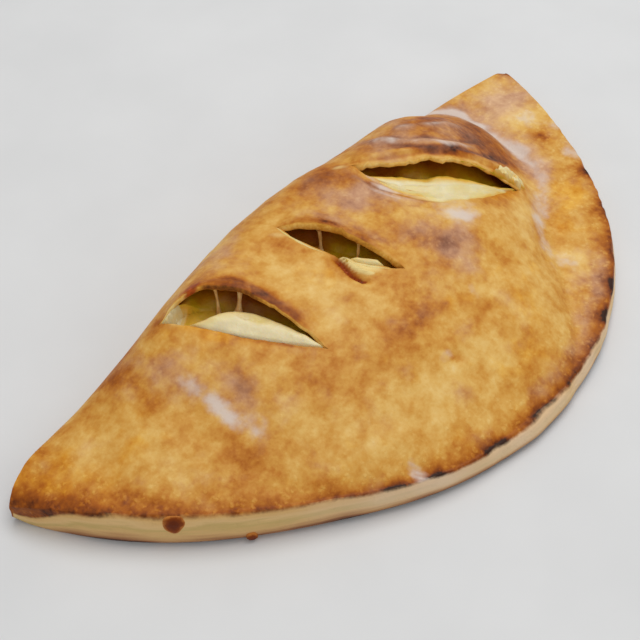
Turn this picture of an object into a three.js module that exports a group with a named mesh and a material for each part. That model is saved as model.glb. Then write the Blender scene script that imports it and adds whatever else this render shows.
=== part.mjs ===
// A calzone: one round of pizza dough folded over a melted cheese filling into a half moon.
//
// The straight side is the fold, the curved side is the sealed edge, and three steam cuts cross the
// top from the fold towards the curve. The crust is a hollow shell that opens only at the cuts, and
// the cheese is a second solid that fills it. Beyond each cut the crust has lifted like an awning, so
// that an air pocket opens between it and the cheese.
//
// Millimetres. +X runs along the fold, +Y from the curved edge to the fold, +Z up. The origin is on
// the flat base, under the middle of the bounding box.

import * as THREE from 'three';
import { mergeVertices } from 'three/addons/utils/BufferGeometryUtils.js';

const { clamp, lerp, smoothstep } = THREE.MathUtils;

// ---- Driving dimensions -------------------------------------------------------------------------

const LEFT_LENGTH = 153.5; // from the middle to the left tip
const RIGHT_LENGTH = 149; // and to the right tip
const EDGE_RADIUS = 152.3; // of the curved, sealed edge
const EDGE_CENTRE_Y = 32; // of that curve, above the line through the tips
const CREST = 42; // height of the dome
const RIM_LEFT = 15; // height of the sealed edge at the left
const RIM_RIGHT = 9.5; // and at the right
const TIP_DROP = 3.5; // by which the left tip is lower than the edge beside it
const FOLD_RIM = 10.5; // height at which the fold starts to round over
const CRUST = 4.5; // thickness of the top crust
const BASE = 5; // thickness of the bottom crust
const LEAST_HOLLOW = 1.4; // height of the pocket where it is lowest
const CLEARANCE = 0.35; // between crust and cheese

const BACK_ROUND = 24; // run over which the fold rounds up to the crest
const FRONT_RUN = [96, 62]; // run over which the dome falls to the sealed edge, at the left and right
const FRONT_EASE = 1.9; // how full that fall is
const SEAL_FLAT = 23; // extra width of the flat seal at the right
const CREASE_X = 107; // where the filled pocket ends in a crease before the flat right tip
const CREASE_MIDDLE_Y = -19; // where that crease reaches furthest to the right
const CORNER = 5.5; // radius of the right tip's corner
const NOSE = 7; // length over which the left tip is rounded
const NOSE_END = 151.4; // distance of its end from the middle

// The sealed edge is a little out of round: [degrees from the middle, width in degrees, depth].
const EDGE_DENTS = [
  [-38, 24, 8.3],
  [58, 26, 3.3],
  [-80, 7, -2],
];

// The steam cuts, from their fold end to their front end. The near lip is the one to the left. Each
// lip bulges away from the cut's line, most at the given share of its length; small ends make it
// blunt there. The far lip has lifted, and its edge rolls over; the near one has sunk. The brink is
// where the cheese drops into the air pocket: [share of the cut, share of the opening].
const CUTS = [
  {
    fold: [-75.7, -0.6], front: [-48.2, -51.4],
    far: { bulge: 12, at: 0.38, ends: 0.8 }, near: { bulge: 0.9, at: 0.43, ends: 0.9 },
    lift: 5.5, roll: 0, sink: 1.5, lip: 2.4, pocket: 9,
    brink: [[0.12, 0], [0.27, 0.3], [0.43, 0.76], [0.52, 0.86], [1, 0.8]],
  },
  {
    fold: [-19.6, -7], front: [-4, -52.6],
    far: { bulge: 3.8, at: 0.42, ends: 0.9 }, near: { bulge: 4.5, at: 0.48, ends: 0.9 },
    lift: 4, roll: 0, sink: 1.5, lip: 3.6, pocket: 7,
    brink: [[0.38, -0.3], [0.52, 0], [0.64, 0.42], [0.79, 0.6], [0.95, 0.2]],
  },
  {
    fold: [23.5, -8], front: [77, -53],
    far: { bulge: -2.5, at: 0.5, ends: 0.6 }, near: { bulge: 14.5, at: 0.46, ends: 0.9 },
    lift: 8, roll: 5, sink: 5, lip: 2.8, pocket: 8,
    brink: [[0.02, -0.3], [0.14, 0.5], [0.28, 0.78], [0.47, 0.85], [0.75, 0.5], [1, 0.5]],
  },
];
const PULL_REACH = 40; // how far from a cut the crust is pulled aside
const RELIEF_REACH = 24; // how far from a cut the crust is lifted or dropped
const LIP_REACH = 12; // how far from a cut the crust thins
const ROLL_REACH = 2.6; // how far from a far lip its edge rolls over
const POCKET_REACH = 15; // how far the air pocket runs in under the far lip
const WELL_RAMP = [0.8, 2.4]; // distance from a lip over which the cheese wells up in a cut
const WELL_DEPTH = 1; // by which the welled cheese stays below the crust's outside

// Shallow hollows and swellings of the top crust: [x, y, radius, height].
const UNEVENNESS = [
  [-86, -34, 17, -1.6],
  [-112, -22, 16, 1.1],
  [-62, -78, 22, 1.2],
  [-30, -92, 18, -0.8],
  [-28, -66, 17, 1.3],
  [12, -76, 20, -0.9],
  [6, 4, 20, 1.2],
  [-46, 4, 16, 0.9],
  [34, -72, 12, -1.5],
  [80, -22, 15, 1.4],
  [70, 2, 13, 1.0],
  [92, -66, 15, 0.9],
  [122, -22, 13, 1.1],
  [-128, 0, 12, 0.9],
];
const SEAL_CREASE = { distance: 29, width: 4.5, depth: 1.5 }; // where the pocket meets the seal

// Numbers of mesh columns between the left tip, the three cuts and the right tip.
const COLUMNS = [19, 11, 13, 19];
const MIDDLE_ROWS = 20; // rows across the top, between the rounded back and the rim
const BACK_ROWS = [0, 0.8, 2.4, 5, 8.5, 12.5]; // run in from the fold
const RIM_ROWS = [11, 6, 2.5, 0]; // run in from the rim's ridge
const BACK_WALL = [[5, 0], [2.6, 2.2], [1, 5.2]]; // run in from the fold, height
const FRONT_WALL = [[0.6, 0.92], [0.22, 0.7], [0, 0.35], [0.25, 0]]; // share of ridge inset, of height
const RIDGE_INSET = 2; // least distance of the rim's ridge from the edge
// Where the ridge lies further in: [x, width, distance].
const RIDGE_SETBACKS = [[-133, 20, 5], [-12, 18, 2.6]];
const LENS_SHARES = [0.12, 0.3, 0.5, 0.7, 0.88]; // extra cheese columns across an open cut
const POCKET_HALF = 121; // half length of the hollow; beyond it the tips are solid dough

// ---- Plan: outline, cuts ------------------------------------------------------------------------

function foldLine(x) {
  const shelf = lerp(10.2, 11.6, smoothstep(x, -60, 60));
  const [length, squareness] = x < 0 ? [LEFT_LENGTH, 9] : [RIGHT_LENGTH, 3.1];
  const shoulder = shelf * (1 - Math.abs(x / length) ** squareness);
  return shoulder + 9 * Math.exp(-(((x + 17) / 48) ** 2));
}

function edgeRadius(degrees) {
  const dent = ([at, width, depth]) => depth * Math.exp(-(((degrees - at) / width) ** 2));
  return EDGE_RADIUS - EDGE_DENTS.reduce((sum, d) => sum + dent(d), 0);
}

function edgeAngle(x, y) {
  return THREE.MathUtils.radToDeg(Math.atan2(x, EDGE_CENTRE_Y - y));
}

function edgePoint(degrees) {
  const a = THREE.MathUtils.degToRad(degrees);
  const r = edgeRadius(degrees);
  return [r * Math.sin(a), EDGE_CENTRE_Y - r * Math.cos(a)];
}

const fromEdge = (x, y) => edgeRadius(edgeAngle(x, y)) - Math.hypot(x, y - EDGE_CENTRE_Y);
const fromFold = (x, y) => foldLine(x) - y;

for (const cut of CUTS) {
  const run = [cut.front[0] - cut.fold[0], cut.front[1] - cut.fold[1]];
  cut.length = Math.hypot(...run);
  cut.along = run.map((v) => v / cut.length);
  cut.across = [-cut.along[1], cut.along[0]]; // towards the far lip
}

// Where a plan point lies by a cut: share of its length, and distance to its far side.
function byCut(cut, x, y) {
  const dx = x - cut.fold[0];
  const dy = y - cut.fold[1];
  return {
    share: (dx * cut.along[0] + dy * cut.along[1]) / cut.length,
    side: dx * cut.across[0] + dy * cut.across[1],
  };
}

// How far a lip has opened along its cut: 0 at the ends and 1 where it bulges most.
function opening(share, lip) {
  if (share <= 0 || share >= 1) return 0;
  return Math.sin(Math.PI * share ** (Math.log(0.5) / Math.log(lip.at))) ** lip.ends;
}

// The same point seen from a cut's lips: how open each is there, and the distance out from its edge.
function byLips(cut, x, y) {
  const { share, side } = byCut(cut, x, y);
  const far = opening(share, cut.far);
  const near = opening(share, cut.near);
  const farEdge = far * cut.far.bulge;
  const nearEdge = -near * cut.near.bulge;
  const [fromFar, fromNear] = [side - farEdge, nearEdge - side];
  const isFar = fromFar > fromNear;
  return { share, side, far, near, farEdge, nearEdge, fromFar, fromNear, isFar };
}

// The value at a place along a line of [place, value] pairs.
function valueAt(place, pairs) {
  const next = pairs.findIndex(([at]) => at >= place);
  if (next === 0) return pairs[0][1];
  if (next < 0) return pairs[pairs.length - 1][1];
  const [[a, from], [b, to]] = [pairs[next - 1], pairs[next]];
  return lerp(from, to, (place - a) / (b - a));
}

const fade = (distance, reach) => (distance < reach ? (1 - Math.max(distance, 0) / reach) ** 2 : 0);

// The crust beside a cut is pulled aside. On the cut itself, lip says which lip the point is on.
function pulled(x, y, lip = 0) {
  let [px, py] = [x, y];
  for (const cut of CUTS) {
    const { side, farEdge, nearEdge } = byLips(cut, x, y);
    if (lip && Math.abs(side) > 0.01) continue;
    const edge = (lip ? lip > 0 : side > 0) ? farEdge : nearEdge;
    const move = edge * fade(Math.abs(side), PULL_REACH);
    px += cut.across[0] * move;
    py += cut.across[1] * move;
  }
  return [px, py];
}

// ---- Heights ------------------------------------------------------------------------------------

function rimHeight(x) {
  const tip = 1 - smoothstep(x, -LEFT_LENGTH, 20 - LEFT_LENGTH);
  return lerp(RIM_LEFT, RIM_RIGHT, smoothstep(x, -120, -20)) - TIP_DROP * tip;
}

function ridgeInset(x) {
  const setback = ([at, width, distance]) => distance * Math.exp(-(((x - at) / width) ** 2));
  return RIDGE_SETBACKS.reduce((sum, s) => sum + setback(s), RIDGE_INSET);
}

// How full the pocket is: 1 in the middle, falling slowly to the left tip and to a crease at the right.
function fullness(x, y) {
  const off = y - CREASE_MIDDLE_Y;
  const bowed = x + (off > 0 ? 7.7 * (off / 27) ** 2 : 20 * (off / 54) ** 2);
  const roundness = lerp(1.25, 2.3, smoothstep(-y, 0, 25));
  const fall = clamp((bowed - 62) / (CREASE_X - 62), 0, 1) ** roundness;
  const beyond = 1 - smoothstep(bowed, CREASE_X - 8, CREASE_X + 29);
  return smoothstep(x, -172, -64) * (0.8 * (1 - fall) + 0.2 * beyond);
}

function dome(x, y) {
  const rim = lerp(rimHeight(x), FOLD_RIM, smoothstep(fromEdge(x, y), 4, 45));
  const flat = SEAL_FLAT * smoothstep(x, 5, 70);
  const run = lerp(...FRONT_RUN, smoothstep(x, 0, 60));
  const back = clamp(fromFold(x, y) / BACK_ROUND, 0, 1);
  const front = clamp((fromEdge(x, y) - ridgeInset(x) - flat) / run, 0, 1);
  const rise = Math.sqrt(1 - (1 - back) ** 2) * (1 - (1 - front) ** FRONT_EASE);
  return rim + (CREST - rim) * rise * fullness(x, y);
}

function relief(x, y) {
  const inland = smoothstep(Math.min(fromEdge(x, y), fromFold(x, y)), 2, 14);
  let height = 0;
  for (const [cx, cy, radius, rise] of UNEVENNESS) {
    height += rise * Math.exp(-((x - cx) ** 2 + (y - cy) ** 2) / radius ** 2);
  }
  const crease = Math.exp(-(((fromEdge(x, y) - SEAL_CREASE.distance) / SEAL_CREASE.width) ** 2));
  return inland * (height - SEAL_CREASE.depth * crease * smoothstep(x, 20, 70));
}

// How the crust rises at a cut's far lip and sinks at its near lip.
function atCuts(x, y) {
  let height = 0;
  for (const cut of CUTS) {
    const { far, near, fromFar, fromNear, isFar } = byLips(cut, x, y);
    const rolled = cut.roll * Math.exp(-((fromFar / ROLL_REACH) ** 2));
    if (isFar) height += far * (cut.lift * fade(fromFar, RELIEF_REACH) - rolled);
    else height -= near * cut.sink * fade(fromNear, RELIEF_REACH);
  }
  return height;
}

const crustTop = (x, y) => dome(x, y) + relief(x, y) + atCuts(x, y);

function crustThickness(x, y) {
  let thickness = CRUST;
  for (const cut of CUTS) {
    const { far, near, fromFar, fromNear, isFar } = byLips(cut, x, y);
    const [open, distance] = isFar ? [far, fromFar] : [near, fromNear];
    thickness -= (CRUST - cut.lip) * Math.min(1, 3 * open) * fade(distance, LIP_REACH);
  }
  return thickness;
}

const ceiling = (x, y) => Math.max(crustTop(x, y) - crustThickness(x, y), BASE + LEAST_HOLLOW);

// The cheese lies against the ceiling, wells up in the cuts, and has sunk away under the far lips.
function cheeseTop(x, y) {
  const thickness = crustThickness(x, y) + CLEARANCE;
  let height = dome(x, y) + relief(x, y) - thickness;
  for (const cut of CUTS) {
    const { share, side, far, near, farEdge, nearEdge, fromFar, fromNear, isFar } = byLips(cut, x, y);
    const inLens = fromFar < 0 && fromNear < 0;
    const across = inLens ? (side - nearEdge) / (farEdge - nearEdge) : 0;
    const brink = valueAt(share, cut.brink);
    const dropped = smoothstep(across, brink - 0.2, brink + 0.2);
    const past = inLens ? dropped : isFar ? fade(fromFar, POCKET_REACH) : 0;
    const sunk = isFar && !inLens ? 0 : near * cut.sink * fade(fromNear, RELIEF_REACH);
    const fromLip = Math.min(-fromFar, -fromNear);
    if (inLens) height += (1 - past) * (thickness - WELL_DEPTH) * smoothstep(fromLip, ...WELL_RAMP);
    height -= lerp(sunk, Math.max(sunk, far * cut.pocket), past);
  }
  return Math.max(height, BASE + LEAST_HOLLOW - CLEARANCE);
}

// ---- Mesh columns -------------------------------------------------------------------------------

// A cut's line carried on to the fold and to the curved edge.
function columnThrough(cut) {
  const walk = (sign, distance) => {
    let [x, y] = cut.fold;
    for (let step = 0.02; distance(x, y) > 0;) {
      x += sign * step * cut.along[0];
      y += sign * step * cut.along[1];
    }
    return [x, y];
  };
  return { foldX: walk(-1, fromFold)[0], edgeDegrees: edgeAngle(...walk(1, fromEdge)), cut };
}

function allColumns() {
  const stops = [
    { foldX: 2.6 - LEFT_LENGTH, edgeDegrees: -78.3 },
    ...CUTS.map(columnThrough),
    { foldX: RIGHT_LENGTH - 0.8, edgeDegrees: 77 },
  ];
  const columns = [stops[0]];
  COLUMNS.forEach((count, n) => {
    for (let i = 1; i <= count; i++) {
      const [a, b] = [stops[n], stops[n + 1]];
      const even = i / count;
      const gathered = lerp(even, (1 - Math.cos(Math.PI * even)) / 2, 0.55); // closer at the cuts
      const column = {
        foldX: lerp(a.foldX, b.foldX, gathered),
        edgeDegrees: lerp(a.edgeDegrees, b.edgeDegrees, gathered),
      };
      if (i < count || !b.cut) columns.push(column);
      else columns.push({ ...b, lip: -1 }, { ...b, lip: 1 });
    }
  });
  return columns.map(laidOut);
}

// Gives a column its plan points: across the top from the fold to the ridge, and down both walls.
function laidOut(column) {
  const start = [column.foldX, foldLine(column.foldX)];
  const end = edgePoint(column.edgeDegrees);
  const width = Math.hypot(end[0] - start[0], end[1] - start[1]);
  const scale = Math.min(1, width / 70);
  const at = (run) => [lerp(start[0], end[0], run / width), lerp(start[1], end[1], run / width)];
  const inset = ridgeInset(end[0]) * scale;
  const ridge = width - inset;
  const runs = BACK_ROWS.map((r) => r * scale);
  const [first, last] = [runs[runs.length - 1], ridge - RIM_ROWS[0] * scale];
  for (let j = 1; j < MIDDLE_ROWS; j++) runs.push(lerp(first, last, j / MIDDLE_ROWS));
  runs.push(...RIM_ROWS.map((r) => ridge - r * scale));
  const top = runs.map((r) => pulled(...at(r), column.cut ? column.lip : 0));
  const back = BACK_WALL.map(([run, z]) => [...at(run * scale), z]);
  const rim = rimHeight(end[0]);
  const front = FRONT_WALL.map(([run, share]) => [...at(width - run * inset), rim * share]);
  return { ...column, top, back, front };
}

const columns = allColumns();
const FIRST_ROW = 3; // of the cavity, in the rounded back
const LAST_ROW = columns[0].top.length - RIM_ROWS.length; // of the cavity, at the rim
const inTips = ({ top }) => Math.abs(top[0][0]) > POCKET_HALF;
const pocketColumns = columns.filter((c) => !inTips(c));

// ---- Solids from columns ------------------------------------------------------------------------

// Rounds the tips off: the right one's square corner is drawn in to a quarter circle.
function rounded([x, y, z]) {
  const a = x > 100 ? clamp(1 - fromEdge(x, y) / CORNER, 0, 1) : 0;
  const b = x > 100 ? clamp(1 - fromFold(x, y) / CORNER, 0, 1) : 0;
  const radial = THREE.MathUtils.degToRad(edgeAngle(x, y));
  const drawnIn = CORNER * a * (1 - Math.sqrt(1 - b * b / 2));
  const drawnDown = CORNER * b * (1 - Math.sqrt(1 - a * a / 2));
  const nose = clamp((NOSE - NOSE_END - x) / NOSE, 0, 1);
  const squeeze = Math.sqrt(1 - 0.95 * Math.max(nose, 0.6 * (a * b) ** 2) ** 2);
  const [px, py] = [x - drawnIn * Math.sin(radial), y + drawnIn * Math.cos(radial) - drawnDown];
  return [px, py, 4.5 + (z - 4.5) * squeeze];
}

const triangles = () => {
  const list = [];
  list.quad = (a, b, c, d) => list.push(a, b, c, a, c, d);
  return list;
};

// Welds loose triangles into one closed mesh, without the ones that have no area.
function solid(list) {
  const loose = new THREE.BufferGeometry();
  loose.setAttribute('position', new THREE.Float32BufferAttribute(list.flatMap(rounded), 3));
  const geometry = mergeVertices(loose, 1e-3);
  const index = Array.from(geometry.index.array);
  const kept = [];
  for (let i = 0; i < index.length; i += 3) {
    const [a, b, c] = index.slice(i, i + 3);
    if (a !== b && b !== c && c !== a) kept.push(a, b, c);
  }
  geometry.setIndex(kept);
  geometry.computeVertexNormals();
  return geometry;
}

const raised = (points, height) => points.map(([x, y]) => [x, y, height(x, y)]);
const isCut = (a, b) => a.cut && a.cut === b.cut;

function crustGeometry() {
  const list = triangles();
  const profile = (c) => [...c.back, ...raised(c.top, crustTop), ...c.front];
  const pairs = (all, visit) => {
    for (let i = 0; i + 1 < all.length; i++) if (!isCut(all[i], all[i + 1])) visit(all[i], all[i + 1]);
  };

  // Outside: back, top and front wall in one sweep, the flat base, and a small facet at each tip.
  pairs(columns, (a, b) => {
    const [p, q] = [profile(a), profile(b)];
    for (let j = 0; j + 1 < p.length; j++) list.quad(p[j], p[j + 1], q[j + 1], q[j]);
    list.quad(p[0], q[0], q[q.length - 1], p[p.length - 1]);
  });
  const tip = (column, flip) => {
    const p = profile(column);
    for (let j = 1; j + 1 < p.length; j++) list.push(p[0], ...(flip ? [p[j], p[j + 1]] : [p[j + 1], p[j]]));
  };
  tip(columns[0], false);
  tip(columns[columns.length - 1], true);

  // Inside: ceiling, side walls, end walls and floor of the pocket.
  const inside = (c) => raised(c.top.slice(FIRST_ROW, LAST_ROW + 1), ceiling);
  const floor = (p) => [p[0], p[1], BASE];
  pairs(pocketColumns, (a, b) => {
    const [p, q] = [inside(a), inside(b)];
    const end = p.length - 1;
    for (let j = 0; j < end; j++) list.quad(p[j], q[j], q[j + 1], p[j + 1]);
    list.quad(p[0], floor(p[0]), floor(q[0]), q[0]);
    list.quad(p[end], q[end], floor(q[end]), floor(p[end]));
    list.quad(floor(p[0]), floor(p[end]), floor(q[end]), floor(q[0]));
  });
  const endWall = (column, flip) => {
    const p = inside(column);
    const loop = [floor(p[0]), ...p, floor(p[p.length - 1])];
    for (let j = 1; j + 1 < loop.length; j++) {
      list.push(loop[0], ...(flip ? [loop[j + 1], loop[j]] : [loop[j], loop[j + 1]]));
    }
  };
  endWall(pocketColumns[0], false);
  endWall(pocketColumns[pocketColumns.length - 1], true);

  // The lips of the cuts, where the outside turns in to the ceiling.
  for (const column of columns.filter((c) => c.cut)) {
    const outer = raised(column.top, crustTop);
    const inner = raised(column.top, ceiling);
    for (let j = FIRST_ROW; j < LAST_ROW; j++) {
      const open = [j, j + 1].some((k) => byLips(column.cut, ...column.top[k]).far > 0);
      if (!open) continue;
      if (column.lip < 0) list.quad(outer[j], outer[j + 1], inner[j + 1], inner[j]);
      else list.quad(outer[j], inner[j], inner[j + 1], outer[j + 1]);
    }
  }
  return solid(list);
}

// The pocket's columns, with extra ones across each open cut.
function cheeseColumns() {
  return pocketColumns.flatMap((column, i) => {
    const next = pocketColumns[i + 1];
    const points = column.top.slice(FIRST_ROW, LAST_ROW + 1);
    if (!next || !isCut(column, next)) return [points];
    const across = (share) => points.map(([x, y], j) => {
      const [fx, fy] = next.top[FIRST_ROW + j];
      return [lerp(x, fx, share), lerp(y, fy, share)];
    });
    return [points, ...LENS_SHARES.map(across)];
  });
}

// Moves the outer ring of a grid of plan points inwards.
function insetGrid(grid, inset) {
  const [rows, lastColumn] = [grid[0].length - 1, grid.length - 1];
  return grid.map((points, i) => points.map(([x, y], j) => {
    const dx = i === 0 ? inset : i === lastColumn ? -inset : 0;
    const dy = j === 0 ? -inset : j === rows ? inset : 0;
    return [x + dx * 1.5, y + dy * 1.5];
  }));
}

function cheeseGeometry() {
  const list = triangles();
  const plan = cheeseColumns();
  const moved = insetGrid(plan, CLEARANCE);
  const top = moved.map((points, i) => points.map(([x, y], j) => [x, y, cheeseTop(...plan[i][j])]));
  const floor = (p) => [p[0], p[1], BASE + CLEARANCE];
  for (let i = 0; i + 1 < top.length; i++) {
    const [p, q] = [top[i], top[i + 1]];
    const end = p.length - 1;
    for (let j = 0; j < end; j++) list.quad(p[j], p[j + 1], q[j + 1], q[j]);
    list.quad(p[0], q[0], floor(q[0]), floor(p[0]));
    list.quad(p[end], floor(p[end]), floor(q[end]), q[end]);
    list.quad(floor(p[0]), floor(q[0]), floor(q[end]), floor(p[end]));
  }
  const endWall = (p, flip) => {
    const loop = [floor(p[0]), ...p, floor(p[p.length - 1])];
    for (let j = 1; j + 1 < loop.length; j++) {
      list.push(loop[0], ...(flip ? [loop[j], loop[j + 1]] : [loop[j + 1], loop[j]]));
    }
  };
  endWall(top[0], false);
  endWall(top[top.length - 1], true);
  return solid(list);
}

// ---- Scene --------------------------------------------------------------------------------------

function piece(name, geometry, colour, roughness) {
  const material = new THREE.MeshStandardMaterial({ color: colour, roughness, metalness: 0 });
  const mesh = new THREE.Mesh(geometry, material);
  mesh.name = name;
  return mesh;
}

const crust = piece('crust', crustGeometry(), 0xcf8f45, 0.55);
const cheese = piece('cheese_filling', cheeseGeometry(), 0xf0e3b0, 0.4);

crust.geometry.computeBoundingBox();
const middle = crust.geometry.boundingBox.getCenter(new THREE.Vector3());
const calzone = new THREE.Group();
calzone.add(crust, cheese);
calzone.position.set(-middle.x, -middle.y, 0);

export default calzone;
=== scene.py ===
# A baked calzone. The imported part's two solids are replaced by a finely modelled crust and its cheese
# filling, worked out from the same main sizes, and dressed in procedural materials. Small pieces of
# cheese and burnt filling are added.
#
# The dough has its own plan, in millimetres: x runs along the fold, y from the curved edge to the
# fold, z up. placed() carries it into the part's frame, in metres.

import math
from dataclasses import dataclass

import bmesh
import bpy
import numpy as np
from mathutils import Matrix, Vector


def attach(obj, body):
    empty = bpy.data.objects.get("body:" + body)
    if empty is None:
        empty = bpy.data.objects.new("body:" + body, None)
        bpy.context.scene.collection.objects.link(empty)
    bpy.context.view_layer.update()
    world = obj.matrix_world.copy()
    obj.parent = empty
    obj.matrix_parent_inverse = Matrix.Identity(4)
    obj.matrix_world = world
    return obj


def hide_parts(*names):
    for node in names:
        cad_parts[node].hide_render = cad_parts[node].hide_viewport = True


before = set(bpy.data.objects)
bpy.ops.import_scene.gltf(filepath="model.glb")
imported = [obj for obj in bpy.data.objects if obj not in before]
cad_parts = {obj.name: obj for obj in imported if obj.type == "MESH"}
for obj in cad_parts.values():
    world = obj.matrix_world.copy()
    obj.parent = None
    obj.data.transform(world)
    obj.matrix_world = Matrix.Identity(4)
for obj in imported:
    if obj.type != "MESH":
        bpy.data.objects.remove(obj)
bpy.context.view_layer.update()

# ---- Sizes of the dough, in millimetres ----

ORIGIN = (-2.14, -50.02)  # where the part's origin lies in the dough's plan
LEFT_LENGTH, RIGHT_LENGTH = 153.5, 149.0
FOLD_Y = (10.2, 11.6)  # left and right
FOLD_SQUARENESS = (9.0, 3.1)  # how squarely the fold's left and right ends turn
FOLD_BULGE = (9.0, -17.0, 48.0)  # depth, x, width
EDGE_RADIUS = 152.3
EDGE_CENTRE_Y = 32.0
CREST = 42.0  # height of the crown, without the lifted lips
RIM_LEFT, RIM_RIGHT = 15.0, 9.5  # height of the rim
TIP_DROP = 3.5  # how much lower the rim is at the left tip
FOLD_RIM = 10.5  # height of the wall under the fold
CRUST = 4.5  # thickness of the top
BASE = 5.0  # thickness of the floor
LEAST_HOLLOW = 1.4  # between the floor and the ceiling
CLEARANCE = 0.35  # around the cheese
BACK_ROUND = 24.0  # how far from the fold the top levels off
FRONT_RUN = (96.0, 62.0)  # how far from the rim the top levels off, left and right
FRONT_EASE = 1.9  # power of that rise, which 1 would make a straight slope
SEAL_FLAT = 23.0  # width of the flat seal at the right
LEFT_RISE = (-172.0, -64.0)  # where the left end starts to rise, and where it is full
FALL_X = 62.0  # where the hump starts to fall to the crease at its foot
CREASE_X, CREASE_MIDDLE_Y = 107.0, -19.0
# Towards the fold and the edge: how far the crease has bowed back, and how far off its middle.
CREASE_BOW = [(7.7, 27.0), (20.0, 54.0)]
SHOULDER = 0.2  # share of the height that lasts beyond the crease
EDGE_DENTS = [(-38, 24, 8.3), (58, 26, 3.3), (-80, 7, -2)]  # degrees, width in degrees, depth


@dataclass
class Cut:
    """A steam cut. A list holds pairs of a share of its length, from its fold end, and a value there."""

    fold: tuple
    front: tuple
    far: tuple  # the far lip's bulge, the share where it bulges most and how blunt its ends are
    near: tuple
    lift: float  # of the far lip
    roll: float  # how far the far lip's edge turns down
    sink: float  # of the near lip
    lip: float  # the crust's thickness at the lips
    pocket: float  # depth of the air pocket under the far lip
    brink_shade: float  # how much painted shade turns the cheese olive-yellow towards its brink
    face: list  # how brown the cut face is
    hollow: list  # how dark the cheese in the air pocket is: partly baked, partly painted shade
    brink: list  # how far over the opening the cheese reaches from the near lip
    clung: list = ()  # where more of it begins, that hangs on to the far lip

    def __post_init__(self):
        run = np.subtract(self.front, self.fold)
        self.length = np.hypot(*run)
        self.along = run / self.length
        self.across = np.array([-self.along[1], self.along[0]])  # towards the far lip

    def at(self, along, side):
        """The plan point at a distance along the cut, and aside from it towards the far lip."""
        return (self.fold[n] + self.along[n] * along + self.across[n] * side for n in (0, 1))

    def aside(self, x, y, distance):
        """Plan points moved by a distance towards the far lip's side."""
        return x + self.across[0] * distance, y + self.across[1] * distance


CUTS = [
    Cut((-75.7, -0.6), (-48.2, -51.4), far=(12, 0.38, 0.8), near=(0.9, 0.43, 0.9),
        lift=5.5, roll=0, sink=1.5, lip=2.4, pocket=6, brink_shade=0.26,
        face=[(0, 0.10), (0.14, 0.2), (0.24, 0.84), (0.5, 0.84), (0.64, 0.56), (0.9, 0.36)],
        hollow=[(0.08, -0.3), (0.13, 0.5), (0.32, 0.64), (0.44, 0.92), (0.58, 0.80), (0.75, 0.60)],
        brink=[(0.02, 0.1), (0.12, 0.04), (0.24, 0.34), (0.33, 0.62), (0.43, 0.84), (0.55, 0.94)],
        clung=[(0.0, 0.0), (0.04, 0.5), (0.07, 0.82), (0.12, 1.2)]),
    Cut((-19.6, -7), (-4, -52.6), far=(3.8, 0.42, 0.9), near=(4.5, 0.48, 0.9),
        lift=4, roll=0, sink=1.5, lip=3.6, pocket=4.5, brink_shade=0.3,
        face=[(0, 0.40), (0.5, 0.54), (1, 0.46)],
        hollow=[(0, 1.0), (0.28, 0.92), (0.42, 0.62), (0.76, 0.62), (0.92, 0.95)],
        brink=[(0.38, -0.3), (0.52, 0.0), (0.64, 0.42), (0.79, 0.6), (0.88, 0.1), (0.95, -0.3)]),
    Cut((23.5, -8), (77, -53), far=(-2.5, 0.5, 0.6), near=(14.5, 0.46, 0.9),
        lift=8, roll=5, sink=5, lip=2.8, pocket=5, brink_shade=0.52,
        face=[(0, 0.28), (0.6, 0.34), (0.8, 0.50), (1, 0.3)],
        hollow=[(0, 0.9), (0.25, 0.84), (0.4, 0.70), (0.75, 0.64), (1, 0.9)],
        brink=[(0, -0.3), (0.06, 0.35), (0.14, 0.66), (0.26, 0.8), (0.47, 0.88), (0.63, 0.76),
               (0.78, 0.5)]),
]
# How far from a cut's lips the crust is pulled aside, lifted or sunk, thinned, hollow and rolled.
PULL_REACH, RELIEF_REACH, LIP_REACH, POCKET_REACH, ROLL_REACH = 40.0, 24.0, 12.0, 15.0, 2.6
UNEVENNESS = [  # x, y, radius, height
    (-86, -34, 17, -1.6), (-112, -22, 16, 1.1), (-62, -78, 22, 1.2), (-30, -92, 18, -0.8),
    (-28, -66, 17, 1.3), (12, -76, 20, -0.9), (6, 4, 20, 1.2), (-46, 4, 16, 0.9), (34, -72, 12, -1.5),
    (80, -22, 15, 1.4), (70, 2, 13, 1.0), (92, -66, 15, 0.9), (122, -22, 13, 1.1), (-128, 0, 12, 0.9),
]
SEAL_CREASE = (29.0, 4.5, 1.5)  # distance from the edge, width, depth
RIDGE_INSET = 2.0  # least distance of the rim's ridge from the edge
RIDGE_SETBACKS = [(-133, 20, 5), (-12, 18, 2.6)]  # where it lies further in: x, width, distance

# ---- Small helpers ----


def mix(a, b, share):
    return a + (b - a) * share


def smooth(x, low, high):
    t = np.clip((x - low) / (high - low), 0.0, 1.0)
    return t * t * (3 - 2 * t)


def bell(x, middle, width):
    return np.exp(-(((x - middle) / width) ** 2))


def waves(x, y, size, seed):
    """Smooth noise from -1 to 1, with bumps about size across."""
    table = np.random.default_rng(seed).uniform(-1, 1, (64, 64))
    turned = 0.6 * seed
    u = (x * math.cos(turned) - y * math.sin(turned)) / size
    v = (x * math.sin(turned) + y * math.cos(turned)) / size
    i, j = np.floor(u).astype(int), np.floor(v).astype(int)
    s, t = smooth(u - i, 0, 1), smooth(v - j, 0, 1)
    low = mix(table[i % 64, j % 64], table[(i + 1) % 64, j % 64], s)
    high = mix(table[i % 64, (j + 1) % 64], table[(i + 1) % 64, (j + 1) % 64], s)
    return mix(low, high, t)


def spots(x, y, places):
    """The sum of soft oval patches: x, y, half length, half width, turn in degrees, strength."""
    total = np.zeros_like(x)
    for cx, cy, long, wide, turn, strength in places:
        c, s = math.cos(math.radians(turn)), math.sin(math.radians(turn))
        u = ((x - cx) * c + (y - cy) * s) / long
        v = ((y - cy) * c - (x - cx) * s) / wide
        total += strength * np.exp(-(u * u + v * v))
    return total


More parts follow.
